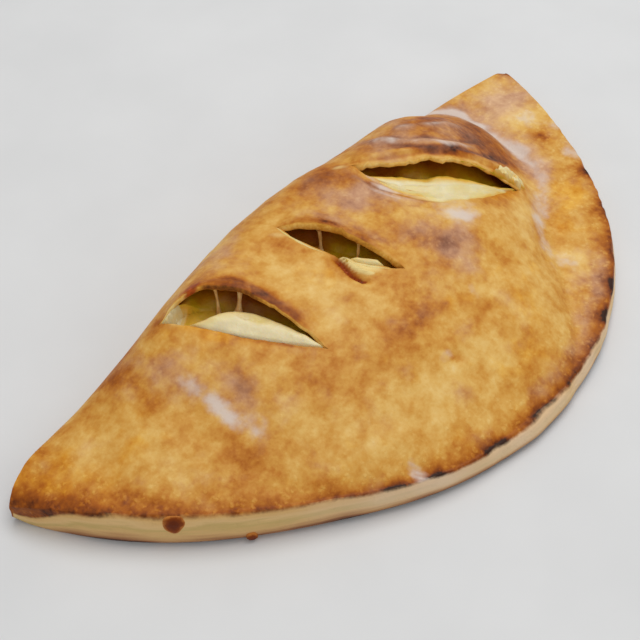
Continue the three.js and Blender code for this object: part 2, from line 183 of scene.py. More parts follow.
def placed(points):
    """From the dough's plan to the part's frame, in metres."""
    return (points - np.array([*ORIGIN, 0.0])) / 1000.0


# ---- Plan of the dough ----


def fold_line(x):
    shelf = mix(*FOLD_Y, smooth(x, -60, 60))
    length = np.where(x < 0, LEFT_LENGTH, RIGHT_LENGTH)
    squareness = np.where(x < 0, *FOLD_SQUARENESS)
    depth, at, width = FOLD_BULGE
    return shelf * (1 - np.abs(x / length) ** squareness) + depth * bell(x, at, width)


def edge_radius(degrees):
    return EDGE_RADIUS - sum(depth * bell(degrees, at, width) for at, width, depth in EDGE_DENTS)


def edge_angle(x, y):
    return np.degrees(np.arctan2(x, EDGE_CENTRE_Y - y))


def edge_point(degrees):
    a, r = np.radians(degrees), edge_radius(degrees)
    return np.stack([r * np.sin(a), EDGE_CENTRE_Y - r * np.cos(a)], -1)


def from_edge(x, y):
    return edge_radius(edge_angle(x, y)) - np.hypot(x, y - EDGE_CENTRE_Y)


def from_fold(x, y):
    return fold_line(x) - y


def opening(share, lip):
    """How far a lip has opened along its cut: 0 at the ends and 1 where it bulges most."""
    inside = (share > 0) & (share < 1)
    s = np.where(inside, share, 0.5)
    arch = np.abs(np.sin(np.pi * s ** (math.log(0.5) / math.log(lip[1])))) ** lip[2]
    return np.where(inside, arch, 0.0)


class Beside:
    """Plan points seen from a cut: share of its length, side, and distance out from either lip."""

    def __init__(self, cut, x, y):
        dx, dy = x - cut.fold[0], y - cut.fold[1]
        self.share = (dx * cut.along[0] + dy * cut.along[1]) / cut.length
        self.side = dx * cut.across[0] + dy * cut.across[1]
        self.far, self.near = opening(self.share, cut.far), opening(self.share, cut.near)
        self.far_edge, self.near_edge = self.far * cut.far[0], -self.near * cut.near[0]
        self.from_far = self.side - self.far_edge
        self.from_near = self.near_edge - self.side
        self.is_far = self.from_far > self.from_near
        self.is_open = (self.from_far < 0) & (self.from_near < 0)
        # 0 at the near lip and 1 at the far one.
        self.across = (self.side - self.near_edge) / np.maximum(self.far_edge - self.near_edge, 1e-6)
        self.away = self.of_lip(self.from_far, self.from_near)
        self.parted = np.minimum(1, 3 * self.of_lip(self.far, self.near))  # 1 but for the cut's ends
        sunk = self.near * cut.sink * fade(self.from_near, RELIEF_REACH)  # with the near lip
        self.sunk = np.where(self.is_far & ~self.is_open, 0.0, sunk)

    def of_lip(self, far, near):
        """The first value on the far lip's side, and the second on the near lip's."""
        return np.where(self.is_far, far, near)

    def given(self, places):
        """Values between those that are given at shares of the cut."""
        return np.interp(self.share, *np.array(places).T)


def fade(distance, reach):
    return np.where(distance < reach, (1 - np.clip(distance, 0, reach) / reach) ** 2, 0.0)


def pulled(x, y, lip):
    """The crust beside a cut is pulled aside. On a cut itself, lip says which lip the point is on."""
    px, py = x, y
    for cut in CUTS:
        b = Beside(cut, x, y)
        on_far = np.where(lip != 0, lip > 0, b.side > 0)
        move = np.where(on_far, b.far_edge, b.near_edge) * fade(np.abs(b.side), PULL_REACH)
        move = np.where((lip != 0) & (np.abs(b.side) > 0.01), 0.0, move)
        px, py = cut.aside(px, py, move)
    return px, py


# ---- Heights ----


def rim_height(x):
    tip = 1 - smooth(x, -LEFT_LENGTH, 20 - LEFT_LENGTH)
    return mix(RIM_LEFT, RIM_RIGHT, smooth(x, -120, -20)) - TIP_DROP * tip


def ridge_inset(x):
    return RIDGE_INSET + sum(distance * bell(x, at, width) for at, width, distance in RIDGE_SETBACKS)


def from_ridge(x, y):
    return from_edge(x, y) - ridge_inset(x)


def fullness(x, y):
    """How much of its full height the dough has: it is flat beyond the crease, which is bowed."""
    off = y - CREASE_MIDDLE_Y
    bowed = x + np.where(off > 0, *(back * (off / half) ** 2 for back, half in CREASE_BOW))
    roundness = mix(1.25, 2.3, smooth(-y, 0, 25))
    fall = np.clip((bowed - FALL_X) / (CREASE_X - FALL_X), 0, 1) ** roundness
    beyond = 1 - smooth(bowed, CREASE_X - 8, CREASE_X + 29)
    return smooth(x, *LEFT_RISE) * mix(1 - fall, beyond, SHOULDER)


def dome(x, y):
    rim = mix(rim_height(x), FOLD_RIM, smooth(from_edge(x, y), 4, 45))
    flat = SEAL_FLAT * smooth(x, 5, 70)
    run = mix(*FRONT_RUN, smooth(x, 0, 60))
    back = np.clip(from_fold(x, y) / BACK_ROUND, 0, 1)
    front = np.clip((from_ridge(x, y) - flat) / run, 0, 1)
    rise = np.sqrt(1 - (1 - back) ** 2) * (1 - (1 - front) ** FRONT_EASE)
    return rim + (CREST - rim) * rise * fullness(x, y)


def relief(x, y):
    inland = smooth(np.minimum(from_edge(x, y), from_fold(x, y)), 2, 14)
    height = sum(rise * np.exp(-((x - cx) ** 2 + (y - cy) ** 2) / r**2) for cx, cy, r, rise in UNEVENNESS)
    distance, width, depth = SEAL_CREASE
    return inland * (height - depth * bell(from_edge(x, y), distance, width) * smooth(x, 20, 70))


def at_cuts(x, y):
    height = np.zeros_like(x)
    for cut in CUTS:
        b = Beside(cut, x, y)
        rolled = cut.roll * bell(b.from_far, 0, ROLL_REACH)
        lifted = b.far * (cut.lift * fade(b.from_far, RELIEF_REACH) - rolled)
        height += np.where(b.is_far, lifted, -b.sunk)
    return height


def crust_top(x, y):
    return dome(x, y) + relief(x, y) + at_cuts(x, y)


def crust_thickness(x, y):
    thickness = np.full_like(x, CRUST)
    for cut in CUTS:
        b = Beside(cut, x, y)
        thickness -= (CRUST - cut.lip) * b.parted * fade(b.away, LIP_REACH)
    return thickness


def ceiling(x, y):
    return np.maximum(crust_top(x, y) - crust_thickness(x, y), BASE + LEAST_HOLLOW)


def cheese_top(x, y):
    """The filling wells up in the cuts and has sunk under their far lips."""
    thickness = crust_thickness(x, y) + CLEARANCE
    height = dome(x, y) + relief(x, y) - thickness
    for cut in CUTS:
        b = Beside(cut, x, y)
        across, brink = np.clip(b.across, 0, 1), b.given(cut.brink)
        dropped = smooth(across, brink - 0.24, brink + 0.26)
        beyond = fade(b.from_far, POCKET_REACH)
        if cut.clung:
            clung = b.given(cut.clung)
            dropped *= 1 - smooth(across, clung - 0.08, clung + 0.08)
            beyond = beyond * smooth(b.share, 0.04, 0.22)
            raised = b.far * cut.lift * fade(b.from_far, RELIEF_REACH)
            held = np.where(b.is_open, across * smooth(across, clung - 0.1, clung + 0.2), b.is_far)
            height += raised * held * (1 - smooth(b.share, 0.08, 0.20))
        past = np.where(b.is_open, dropped, b.of_lip(beyond, 0.0))
        domed = 1.4 * np.sin(np.pi * across) * b.far
        welled = b.is_open * (1 - past) * (thickness - 0.4 + domed) * smooth(-b.from_near, 0, 0.8)
        height += welled - mix(b.sunk, np.maximum(b.sunk, b.far * cut.pocket), past)
    return np.maximum(height, BASE + LEAST_HOLLOW - CLEARANCE)


# ---- Fine shape of the crust ----

# Wrinkles that follow a lip: cut, side (1 for the far lip), distance from the lip, width, share along
# the cut and its width, height.
WRINKLES = [
    (0, 1, 1.6, 1.6, 0.4, 0.34, 0.6), (0, 1, 7.0, 2.2, 0.45, 0.3, -0.6), (1, 1, 1.2, 1.0, 0.45, 0.4, 0.5),
    (1, 1, 4.0, 1.2, 0.45, 0.36, -0.6), (2, 1, 0.8, 0.6, 0.5, 0.42, 0.4),
    (2, 1, 2.4, 0.7, 0.45, 0.3, -0.7), (2, -1, 3.4, 0.9, 0.16, 0.16, 0.6),
    (2, -1, 5.6, 0.9, 0.2, 0.18, -0.7), (2, -1, 8.0, 1.1, 0.24, 0.2, 0.6),
    (2, -1, 10.8, 1.1, 0.26, 0.2, -0.5),
]
# Pores and dents: x, y, half length, half width, turn in degrees, height.
PITS = [
    (-58, -97.5, 2, 3.2, 30, -0.9), (-17, -85.5, 2.6, 2, 0, -0.8), (79.5, -78, 2.2, 1.4, 30, -1.1),
    (87, -63.5, 1.3, 1, 20, -0.8), (90.5, -60, 1.1, 0.9, 0, -0.7), (93.5, -61.5, 1.6, 1.2, 60, -1),
    (94.5, -65, 1.2, 0.9, 0, -0.7), (100, -59, 1.5, 1.2, 30, -1), (105, -58.5, 1.2, 1, 0, -0.7),
    (113, -66, 2.2, 1.2, 50, -1),
]
TEAR_WIDTH, FLAP_WIDTH = 1.15, 0.9
TEAR = [(-17.0, -32.5), (-18.6, -37.5), (-18.9, -41.5), (-18.2, -45.0)]  # beside the middle cut
FLAP = [(-14.9, -33.0), (-15.9, -38.5), (-15.7, -42.0), (-14.3, -45.0)]  # its raised upper side
# The crease at the foot of the hump beyond the last cut.
CREASE = [(97.0, 10.0), (103.0, 4.5), (107.2, -4.5), (106.6, -16.0), (104.9, -27.0), (104.6, -36.0),
          (101.5, -44.0), (95.5, -50.0), (84.0, -58.5), (70.0, -69.0)]
# Streaks over the hump and what each adds to the colour zones and height; the pale ones are flour and
# painted sheen.
STREAKS = [
    dict(width=2.3, brown=0.60, mauve=0.5, flour=0.0, height=-0.8,
         line=[(38, -12), (41.7, -17.4), (47.4, -26.6), (58.7, -34.7), (66.4, -37.9), (80.1, -38.9),
               (86.3, -42.3)]),
    dict(width=2.2, brown=-0.06, mauve=1.0, flour=0.50, height=0.8,
         line=[(37, -2), (41.8, -7.2), (47.4, -18.9), (56.4, -28.4), (63.7, -31.7), (74, -34)]),
    dict(width=1.3, brown=0.16, mauve=0.5, flour=0.0, height=-0.6,
         line=[(43, -6), (49.5, -16.0), (58, -24.5), (66, -28.0), (78, -31)]),
    dict(width=1.6, brown=-0.04, mauve=0.9, flour=0.40, height=0.6,
         line=[(50, -5), (56.3, -11.1), (64, -15), (73.1, -17.4), (82, -22)]),
    dict(width=1.2, brown=0.12, mauve=0.3, flour=0.0, height=-0.5,
         line=[(57, -5), (64, -9), (74, -11.5), (84, -14)]),
]


def streaked(x, y, zone):
    """What the streaks add to a colour zone or to the height."""
    total = np.zeros_like(x)
    uneven, wander = 0.85 + 0.35 * waves(x, y, 6, 37), 0.5 * waves(x, y, 5, 38)
    for streak in STREAKS:
        away, along = from_path(x, y, streak["line"])
        ends = smooth(along, 0, 0.18) * (1 - smooth(along, 0.82, 1))
        total += streak[zone] * uneven * ends * bell(away + wander, 0, streak["width"])
    return total


def from_path(x, y, path):
    """Distance to a line through a few points, and the share along it."""
    best, share = np.full_like(x, 1e9), np.zeros_like(x)
    for n, (a, b) in enumerate(zip(path[:-1], path[1:])):
        run = np.subtract(b, a)
        t = np.clip(((x - a[0]) * run[0] + (y - a[1]) * run[1]) / (run @ run), 0, 1)
        d = np.hypot(x - a[0] - t * run[0], y - a[1] - t * run[1])
        share = np.where(d < best, (n + t) / (len(path) - 1), share)
        best = np.minimum(best, d)
    return best, share


def lip_lines(x, y, lines, uneven, wander=0.0):
    """The sum of lines along the lips. They wander by a share of their distance from the lip."""
    total = np.zeros_like(x)
    for n, side, distance, width, share, spread, amount in lines:
        b = Beside(CUTS[n], x, y)
        on_side, away = (b.is_far, b.from_far) if side > 0 else (~b.is_far, b.from_near)
        across = bell(away + wander * distance, distance, width)
        total += on_side * amount * uneven * across * bell(b.share, share, spread)
    return total


def fine_relief(x, y):
    """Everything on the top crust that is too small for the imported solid."""
    inland = smooth(from_ridge(x, y), 0, 6) * smooth(from_fold(x, y), 0, 8)
    lumps = 0.55 * waves(x, y, 19, 1) + 0.3 * waves(x, y, 8, 2) + 0.14 * waves(x, y, 3.6, 3)
    tear, _ = from_path(x, y, TEAR)
    flap, _ = from_path(x, y, FLAP)
    crease, down = from_path(x, y, CREASE)
    folds = lip_lines(x, y, WRINKLES, 0.6 + 0.4 * waves(x, y, 7, 11)) + streaked(x, y, "height")
    folds += 1.3 * bell(flap, 0, FLAP_WIDTH) - 2.4 * bell(tear, 0, TEAR_WIDTH)
    folds -= (0.9 * bell(crease, 0, 1.1) + 0.5 * bell(crease, 0, 3.2)) * (1 - smooth(down, 0.6, 1.0))
    return inland * (lumps + folds) + spots(x, y, PITS)


NOSE = 7.0  # length over which the left tip is rounded
NOSE_END = 151.4  # distance of its end from the middle
CORNER = 5.5  # radius of the right tip's corner
TIP_LEVEL = 4.5  # height that both tips narrow to


def rounded_tips(x, y, z):
    """The tips are rounded off, from above and from the side."""
    # A square corner is drawn in to a quarter circle.
    distances = from_edge(x, y), from_fold(x, y)
    a, b = (np.clip(1 - distance / CORNER, 0, 1) * (x > 100) for distance in distances)
    radial = np.radians(edge_angle(x, y))
    drawn_in = CORNER * a * (1 - np.sqrt(1 - b * b / 2))
    x = x - drawn_in * np.sin(radial)
    y = y + drawn_in * np.cos(radial) - CORNER * b * (1 - np.sqrt(1 - a * a / 2))
    nose = np.clip((NOSE - NOSE_END - x) / NOSE, 0, 1)
    squeeze = np.sqrt(1 - 0.95 * np.maximum(nose, 0.6 * (a * b) ** 2) ** 2)
    return x, y, mix(TIP_LEVEL, z, squeeze)


def rim_ripple(degrees, z_share):
    """How the rim's wall and ridge wander outwards and back."""
    along = np.radians(degrees) * EDGE_RADIUS
    broad = 0.5 * waves(along, 0, 16, 21) + 0.3 * waves(along, 0, 6, 22)
    ridge = 0.45 * waves(along, 0, 2.8, 23) * smooth(z_share, 0.7, 1.0)
    return broad * smooth(z_share, 0, 0.3) + ridge


# ---- Columns and rows ----

LEFT_COLUMN = (2.6 - LEFT_LENGTH, -78.3)  # x at the fold, degrees at the curved edge
RIGHT_COLUMN = (RIGHT_LENGTH - 0.8, 77)
COLUMN_COUNTS = [96, 62, 74, 104]  # between the left tip, the three cuts and the right tip
BACK_SPAN, BACK_COUNT = 12.5, 10
RIM_SPAN, RIM_COUNT = 11.0, 15
MIDDLE_COUNT = 76
LIP_STEPS = 6
FULL_WIDTH = 70.0  # columns shorter than this have their margins scaled down
POCKET_HALF = 121.0  # how far the hollow reaches to each side
FIRST_ROW = 5  # of the hollow, counted from the fold


class Columns:
    """Lines over the dough from the fold to the curved edge, doubled where they run along a cut."""

    def __init__(self):
        at_cuts = [(*self.through(cut), n) for n, cut in enumerate(CUTS)]
        stops = [(*LEFT_COLUMN, -1), *at_cuts, (*RIGHT_COLUMN, -1)]
        rows = [(*stops[0], 0)]
        for a, b, count in zip(stops[:-1], stops[1:], COLUMN_COUNTS):
            for i in range(1, count + 1):
                even = i / count
                gathered = mix(even, (1 - math.cos(math.pi * even)) / 2, 0.55)  # closer at the cuts
                place = (mix(a[0], b[0], gathered), mix(a[1], b[1], gathered))
                if i < count or b[2] < 0:
                    rows.append((*place, -1, 0))
                else:
                    rows += [(*place, b[2], -1), (*place, b[2], 1)]
        table = np.array(rows, float)
        self.fold_x, self.degrees = table[:, 0], table[:, 1]
        self.cut, self.lip = table[:, 2].astype(int), table[:, 3]
        self.lay_out()

    @staticmethod
    def through(cut):
        """Where a cut's line, carried on, meets the fold and the curved edge."""

        def meet(sign, distance):
            low, high = 0.0, 150.0
            for _ in range(60):
                middle = (low + high) / 2
                x, y = cut.fold + sign * middle * cut.along
                low, high = (middle, high) if distance(x, y) > 0 else (low, middle)
            return cut.fold + sign * low * cut.along

        return meet(-1, from_fold)[0], edge_angle(*meet(1, from_edge))

    def lay_out(self):
        self.start = np.stack([self.fold_x, fold_line(self.fold_x)], -1)
        self.end = edge_point(self.degrees)
        self.width = np.hypot(*(self.end - self.start).T)[:, None]
        self.outward = (self.end - self.start) / self.width
        self.scale = np.minimum(1, self.width / FULL_WIDTH)
        self.inset = ridge_inset(self.end[:, :1]) * self.scale
        back = BACK_SPAN * (np.arange(BACK_COUNT + 1) / BACK_COUNT) ** 1.4 * self.scale
        rim = RIM_SPAN * (1 - np.arange(RIM_COUNT + 1) / RIM_COUNT) ** 1.25 * self.scale
        rim = self.width - self.inset - rim
        middle = mix(back[:, -1:], rim[:, :1], np.arange(1, MIDDLE_COUNT) / MIDDLE_COUNT)
        x, y = self.at(np.concatenate([back, middle, rim], 1))
        self.x, self.y = pulled(x, y, np.broadcast_to(self.lip[:, None], x.shape))
        # The columns and rows over the hollow.
        self.held = np.flatnonzero(np.abs(self.x[:, 0]) <= POCKET_HALF)
        self.rows = slice(FIRST_ROW, x.shape[1] - RIM_COUNT)

    def at(self, runs):
        """Plan points at distances from the fold along each column."""
        share = runs / self.width
        x = mix(self.start[:, :1], self.end[:, :1], share)
        return x, mix(self.start[:, 1:], self.end[:, 1:], share)

    def is_cut(self, column):
        """Whether a cut lies between a column and the next one."""
        return self.cut[column] >= 0 and self.cut[column] == self.cut[column + 1]


# ---- Solids ----

SHARP_DEGREES = 55  # an edge that turns by more than this stays sharp
WELD_DISTANCE = 2e-6  # metres


class Solid:
    """Grids of points with shading values, and the faces between them."""

    def __init__(self, *shades):
        self.points, self.faces = [], []
        self.shades = {name: [] for name in shades}
        self.count = 0

    def grid(self, x, y, z, **shades):
        """Adds a grid of points and returns their numbers."""
        x, y, z = rounded_tips(*np.broadcast_arrays(x, y, z))
        self.points.append(np.stack([x, y, z], -1).reshape(-1, 3))
        for name, values in self.shades.items():
            values.append(np.broadcast_to(shades.get(name, 0.0), x.shape).reshape(-1))
        numbers = np.arange(self.count, self.count + x.size).reshape(x.shape)
        self.count += x.size
        return numbers

    def quads(self, a, b, c, d):
        self.faces += np.stack([a, b, c, d], -1).reshape(-1, 4).tolist()

    def sheet(self, grid, flip=False):
        a, b, c, d = grid[:-1, :-1], grid[:-1, 1:], grid[1:, 1:], grid[1:, :-1]
        self.quads(*((a, d, c, b) if flip else (a, b, c, d)))

    def slab(self, top, bottom):
        """Faces of a closed slab between two grids."""
        self.sheet(top, flip=True)
        self.sheet(bottom)
        sides = [(top[0], bottom[0]), (bottom[-1], top[-1])]
        sides += [(bottom[:, 0], top[:, 0]), (top[:, -1], bottom[:, -1])]
        for a, b in sides:
            self.quads(a[:-1], a[1:], b[1:], b[:-1])

    def closed_rings(self, x, y, z, **shades):
        """Adds rings of points, one in each row, that close on themselves and are capped at both ends."""
        rings = self.grid(x, y, z, **shades)
        self.sheet(np.concatenate([rings, rings[:, :1]], 1))
        self.faces.append(rings[0].tolist())
        self.faces.append(rings[-1][::-1].tolist())

    def made(self, name):
        mesh = bpy.data.meshes.new(name)
        mesh.from_pydata(placed(np.concatenate(self.points)), [], self.faces)
        for shade, values in self.shades.items():
            layer = mesh.attributes.new(shade, "FLOAT", "POINT")
            layer.data.foreach_set("value", np.concatenate(values).astype(np.float32))
        weld(mesh)
        mesh.shade_smooth()
        mesh.set_sharp_from_angle(angle=math.radians(SHARP_DEGREES))
        return added(name, mesh)


def added(name, data):
    """A new object in the scene."""
    made = bpy.data.objects.new(name, data)
    bpy.context.scene.collection.objects.link(made)
    return made


def weld(mesh):
    """Joins points that lie on one another, and drops faces without area."""
    work = bmesh.new()
    work.from_mesh(mesh)
    bmesh.ops.remove_doubles(work, verts=work.verts, dist=WELD_DISTANCE)
    work.to_mesh(mesh)
    work.free()
    mesh.validate()


# ---- Colour zones of the crust ----

# Browning runs from 0, pale dough, to 1, char. Each patch adds to it or takes from it: x, y, half
# length, half width, turn in degrees, strength. The other tables of patches have the same columns.
BASE_BROWN = 0.41
BROWNEST_PATCH, BROWNEST_LINE = 0.80, 0.86  # only char is darker
BROWNED = [
    # from the left tip to the first cut
    (-147, -6, 9, 9, 0, 0.12), (-136, -12, 12, 14, 0, 0.06), (-124, 6, 14, 5, 0, 0.14),
    (-121, -9, 11, 7, -15, -0.16), (-106, -16, 5, 8, 0, -0.12), (-106, -32, 12, 6, -20, -0.02),
    (-100, 4, 10, 5, 0, 0.16), (-97, -8, 4, 20, 3, 0.18), (-90, -55, 16, 7, -50, 0.1),
    (-87, -10, 4, 16, 8, 0.1),
    # around the first cut
    (-78, 1, 4, 4, 0, 0.12), (-76, -13, 6, 9, 20, 0.08), (-74, -39, 6, 9, 0, 0.16),
    (-72, -80, 16, 5, -40, -0.02), (-66, -27, 3, 14, 28, 0.06), (-58, -84, 8, 5, -30, -0.12),
    (-57, -52, 9, 8, 0, 0.16), (-45, -69, 10, 4, 0, 0.14), (-39, -46, 8, 6, 0, -0.06),
    # about the middle cut
    (-33, -27, 9, 18, 8, -0.08), (-32, -86, 12, 7, -20, -0.12), (-30, -88, 24, 8, 0, -0.13),
    (-25, -67, 9, 5, -10, 0.24), (-23, -20, 4, 14, 10, 0.08), (-17, -86, 2.6, 2, 0, 0.28),
    (-12, -36, 12, 8, 0, 0.1), (-11, -66, 6, 4, 0, 0.14),
    # between the middle cut and the last one
    (-8, -56, 8, 6, 0, 0.06), (-5, -92, 8, 5, 0, -0.08), (4, -24, 6, 12, 0, 0.05), (6, -60, 6, 5, 0, 0.1),
    (8, -40, 9, 12, 0, 0.1), (9, -3, 12, 7, -10, 0.4), (10, -84, 6, 5, 0, 0.03), (16, -55, 6, 9, 30, 0.24),
    (18, -22, 5, 10, 0, 0.1), (22, -4, 4, 5, 0, -0.05),
    # the hump behind the last cut and the crust in front of it
    (33, -50, 9, 5, -20, -0.16), (38, -84, 18, 9, 10, -0.1), (38, -3, 10, 8, -40, 0.3),
    (58, -50, 8, 4, 0, 0.12), (60, -63, 14, 3, 30, -0.1), (62, -54, 11, 4, 30, 0.16),
    (62, -18, 30, 14, 5, 0.12), (63, -86, 5, 7, 0, -0.14), (70, -11, 10, 5, 5, 0.26),
    (74, 2, 18, 5, -5, 0.1), (77, -30, 9, 14, 20, 0.14), (80, -5, 14, 6, 0, 0.1),
    (84, -24, 15, 9, 20, 0.34), (86, -48, 5, 3, 20, -0.1), (88, -38, 8, 5, 40, 0.26),
    # from the hump's foot to the flat tip
    (94, -38, 8, 5, 60, 0.2), (95, -64, 12, 5, 45, -0.03), (97, -12, 6, 14, 0, 0.26),
    (104, -60, 7, 5, 40, 0.06), (112, -1, 5, 5, 0, 0.16), (112, -43, 5, 3, 60, 0.12),
    (114, -14, 5, 9, 0, -0.1), (119, -37, 4, 3.5, 0, 0.34), (123, -24, 9, 8, 0, -0.3),
    (127, -45, 6, 4, 50, 0.12), (130, -6, 14, 10, 0, -0.12), (146, -2.2, 5, 1.8, -62, 0.4),
]
# Ashen brown, where flour has baked on; on the hump and at its crease also a painted lavender sheen.
MAUVE = [
    (-90, -8, 6, 16, 10, 0.55), (-85, -50, 8, 8, 0, 0.25), (-76, -38, 8, 10, 0, 0.6),
    (-42, 3, 14, 8, 0, 0.45), (-22, -67, 13, 6, -10, 0.45), (0, -95, 12, 3, 0, 0.15),
    (8, -20, 10, 16, 0, 0.65), (9, -3, 10, 7, 0, 0.35), (15, -22, 9, 6, 0, 0.4), (15, -45, 7, 5, 0, 0.5),
    (16, -57, 10, 9, 0, 0.85), (16, -67, 8, 5, 0, 0.5), (22, -30, 5, 12, 10, 0.5), (30, -57, 8, 5, 0, 0.4),
    (38, -8, 8, 8, -40, 0.55), (52, 6, 14, 5, -5, 0.45), (55, -5, 9, 6, 0, 0.55), (62, -18, 30, 12, 5, 0.3),
    (76, -26, 12, 5, 10, 0.35), (94, -48, 7, 6, 0, 0.35), (98, -46, 5, 8, 30, 0.6),
    (116, -34, 6, 5, 0, 0.3), (122, -52, 5, 5, 0, 0.4), (129, -10, 20, 14, 0, 0.95),
]
# Pale patches of flour dust. The long streak beside the first cut and the broad patch before the last cut
# are also a painted sheen highlight.
FLOUR_AND_SHEEN = [
    (-86, -22, 2.8, 8, 6, 0.35), (-85.5, -37, 3.4, 9, 2, 1), (-84, -49, 3.5, 6, 10, 0.35),
    (-59.3, -100.5, 2.2, 6.5, -24, 0.9), (-45, 2, 7, 3, 20, 0.2), (-20, -84, 3, 2.4, 0, 0.4),
    (8, -74, 2.2, 5, -35, 0.35), (14, -61, 3, 3, 0, 0.3), (20, -30, 1.8, 8, 0, 0.3),
    (24, -21, 2, 10, -14, 0.5), (31, -49.5, 9, 6, -20, 0.9), (37, -54, 5, 3.4, -20, 0.5),
    (58, -83, 5, 7, 0, 0.6), (65, -70, 12, 3.4, 36, 0.7), (86, -56, 3, 6, 65, 0.3),
    (118, -54, 5, 5, 40, 0.75), (123, -26, 6, 5, 0, 0.45), (126, -34, 4, 6, 20, 0.25),
    (130, -40, 5, 3.5, 60, 0.55),
]
# Melted cheese that has run over the near lips.
CHEESY = [
    (-73, -7, 5, 2.4, -62, 0.5), (-22, -8, 5, 1.3, -50, 0.5), (-11.5, -42, 3.4, 7, 15, 0.9),
    (19, -5, 4, 1.8, -40, 0.5), (31, -38, 6, 3.4, -50, 0.75), (44, -46, 11, 3.4, -8, 0.45),
    (80, -47, 7, 2, 20, 0.45),
]
# Glossy amber, where fat and cheese have soaked in.
AMBER = [
    (-113, -20, 12, 8, 0, 0.5), (-71.5, -14.7, 3, 12, 28, 0.7), (-70, -80, 10, 6, -35, 0.3),
    (-66, -18, 5, 12, 28, 0.8), (-45, -100, 16, 5, -20, 0.3), (-26, -34, 5, 8, 10, 0.55),
    (0, -74, 8, 5, 0, 0.6), (0, -100, 16, 6, 0, 0.5), (20, -90, 12, 6, 0, 0.4), (38, -80, 16, 6, 0, 0.35),
    (58, -51, 10, 4, 10, 0.7), (66, -53, 10, 5, 25, 0.7), (69, -10, 9, 5, 0, 0.8), (79, -78, 4, 3, 0, 0.8),
    (88, -66, 14, 7, 45, 0.55), (88, -38, 10, 3, 25, 0.8), (97, -61, 8, 4, 50, 0.6),
    (98, -67, 8, 4, 45, 0.8), (119, -38, 5, 4, 0, 0.8), (142, -6, 7, 5, 0, 0.8),
]
SAUCY = [(-62.6, -3.6, 3.6, 3.0, -30, 1.0), (-66, -20, 3, 6, 30, 0.20), (-24, -36, 3, 5, 0, 0.12)]
SMOOTH_SKIN = [(-32, -30, 14, 26, 10, 0.4), (30, -85, 20, 10, 0, 0.2)]  # with fewer blisters
# Lines along the lips, with the columns of WRINKLES.
SCORCHED = [
    (0, 1, 1.8, 4.2, 0.45, 0.32, 0.54), (0, 1, 1.2, 2.2, 0.8, 0.16, 0.2),
    (0, -1, 0.3, 0.8, 0.75, 0.2, 0.3), (1, 1, 0.8, 1.8, 0.34, 0.36, 0.26),
    (1, 1, 4.0, 3.0, 0.4, 0.3, 0.14), (2, 1, 0.3, 0.7, 0.5, 0.45, -0.14),
    (2, 1, 1.6, 0.8, 0.45, 0.45, 0.16), (2, -1, 5.6, 1.2, 0.18, 0.18, 0.24),
]
ASHEN = [
    (2, -1, 7.2, 1.2, 0.2, 0.2, 0.7), (1, 1, 5.0, 3.0, 0.4, 0.4, 0.35), (0, 1, 2.4, 2.6, 0.58, 0.13, 0.6),
]
FLOURED = [(2, -1, 4.4, 0.8, 0.2, 0.16, 0.45), (2, -1, 8.4, 0.8, 0.2, 0.16, 0.45)]
CHAR_REACH = 2.7  # how far inland it fades
# Char on the rim's ridge: degrees from the middle, width in degrees, amount.
CHAR = [
    (-70, 6, 0.04), (-66, 2, 0.1), (-62, 2, 0.06), (-56, 3, 0.06), (-50, 1.2, 0.12), (-45, 2, 0.1),
    (-39, 1.4, 0.1), (-34, 2, 0.16), (-28, 1.8, 0.72), (-22, 1.7, 0.58), (-17, 2, 0.12), (-12, 2.6, 0.4),
    (-3, 3, 0.26), (5, 3, 0.2), (11.5, 3, 0.26), (17.5, 2, 0.4), (24, 2.2, 0.36), (31, 3, 0.26),
    (40, 2.4, 0.26), (49, 1.6, 0.36), (61, 4, 0.06), (76, 4, 0.12),
]


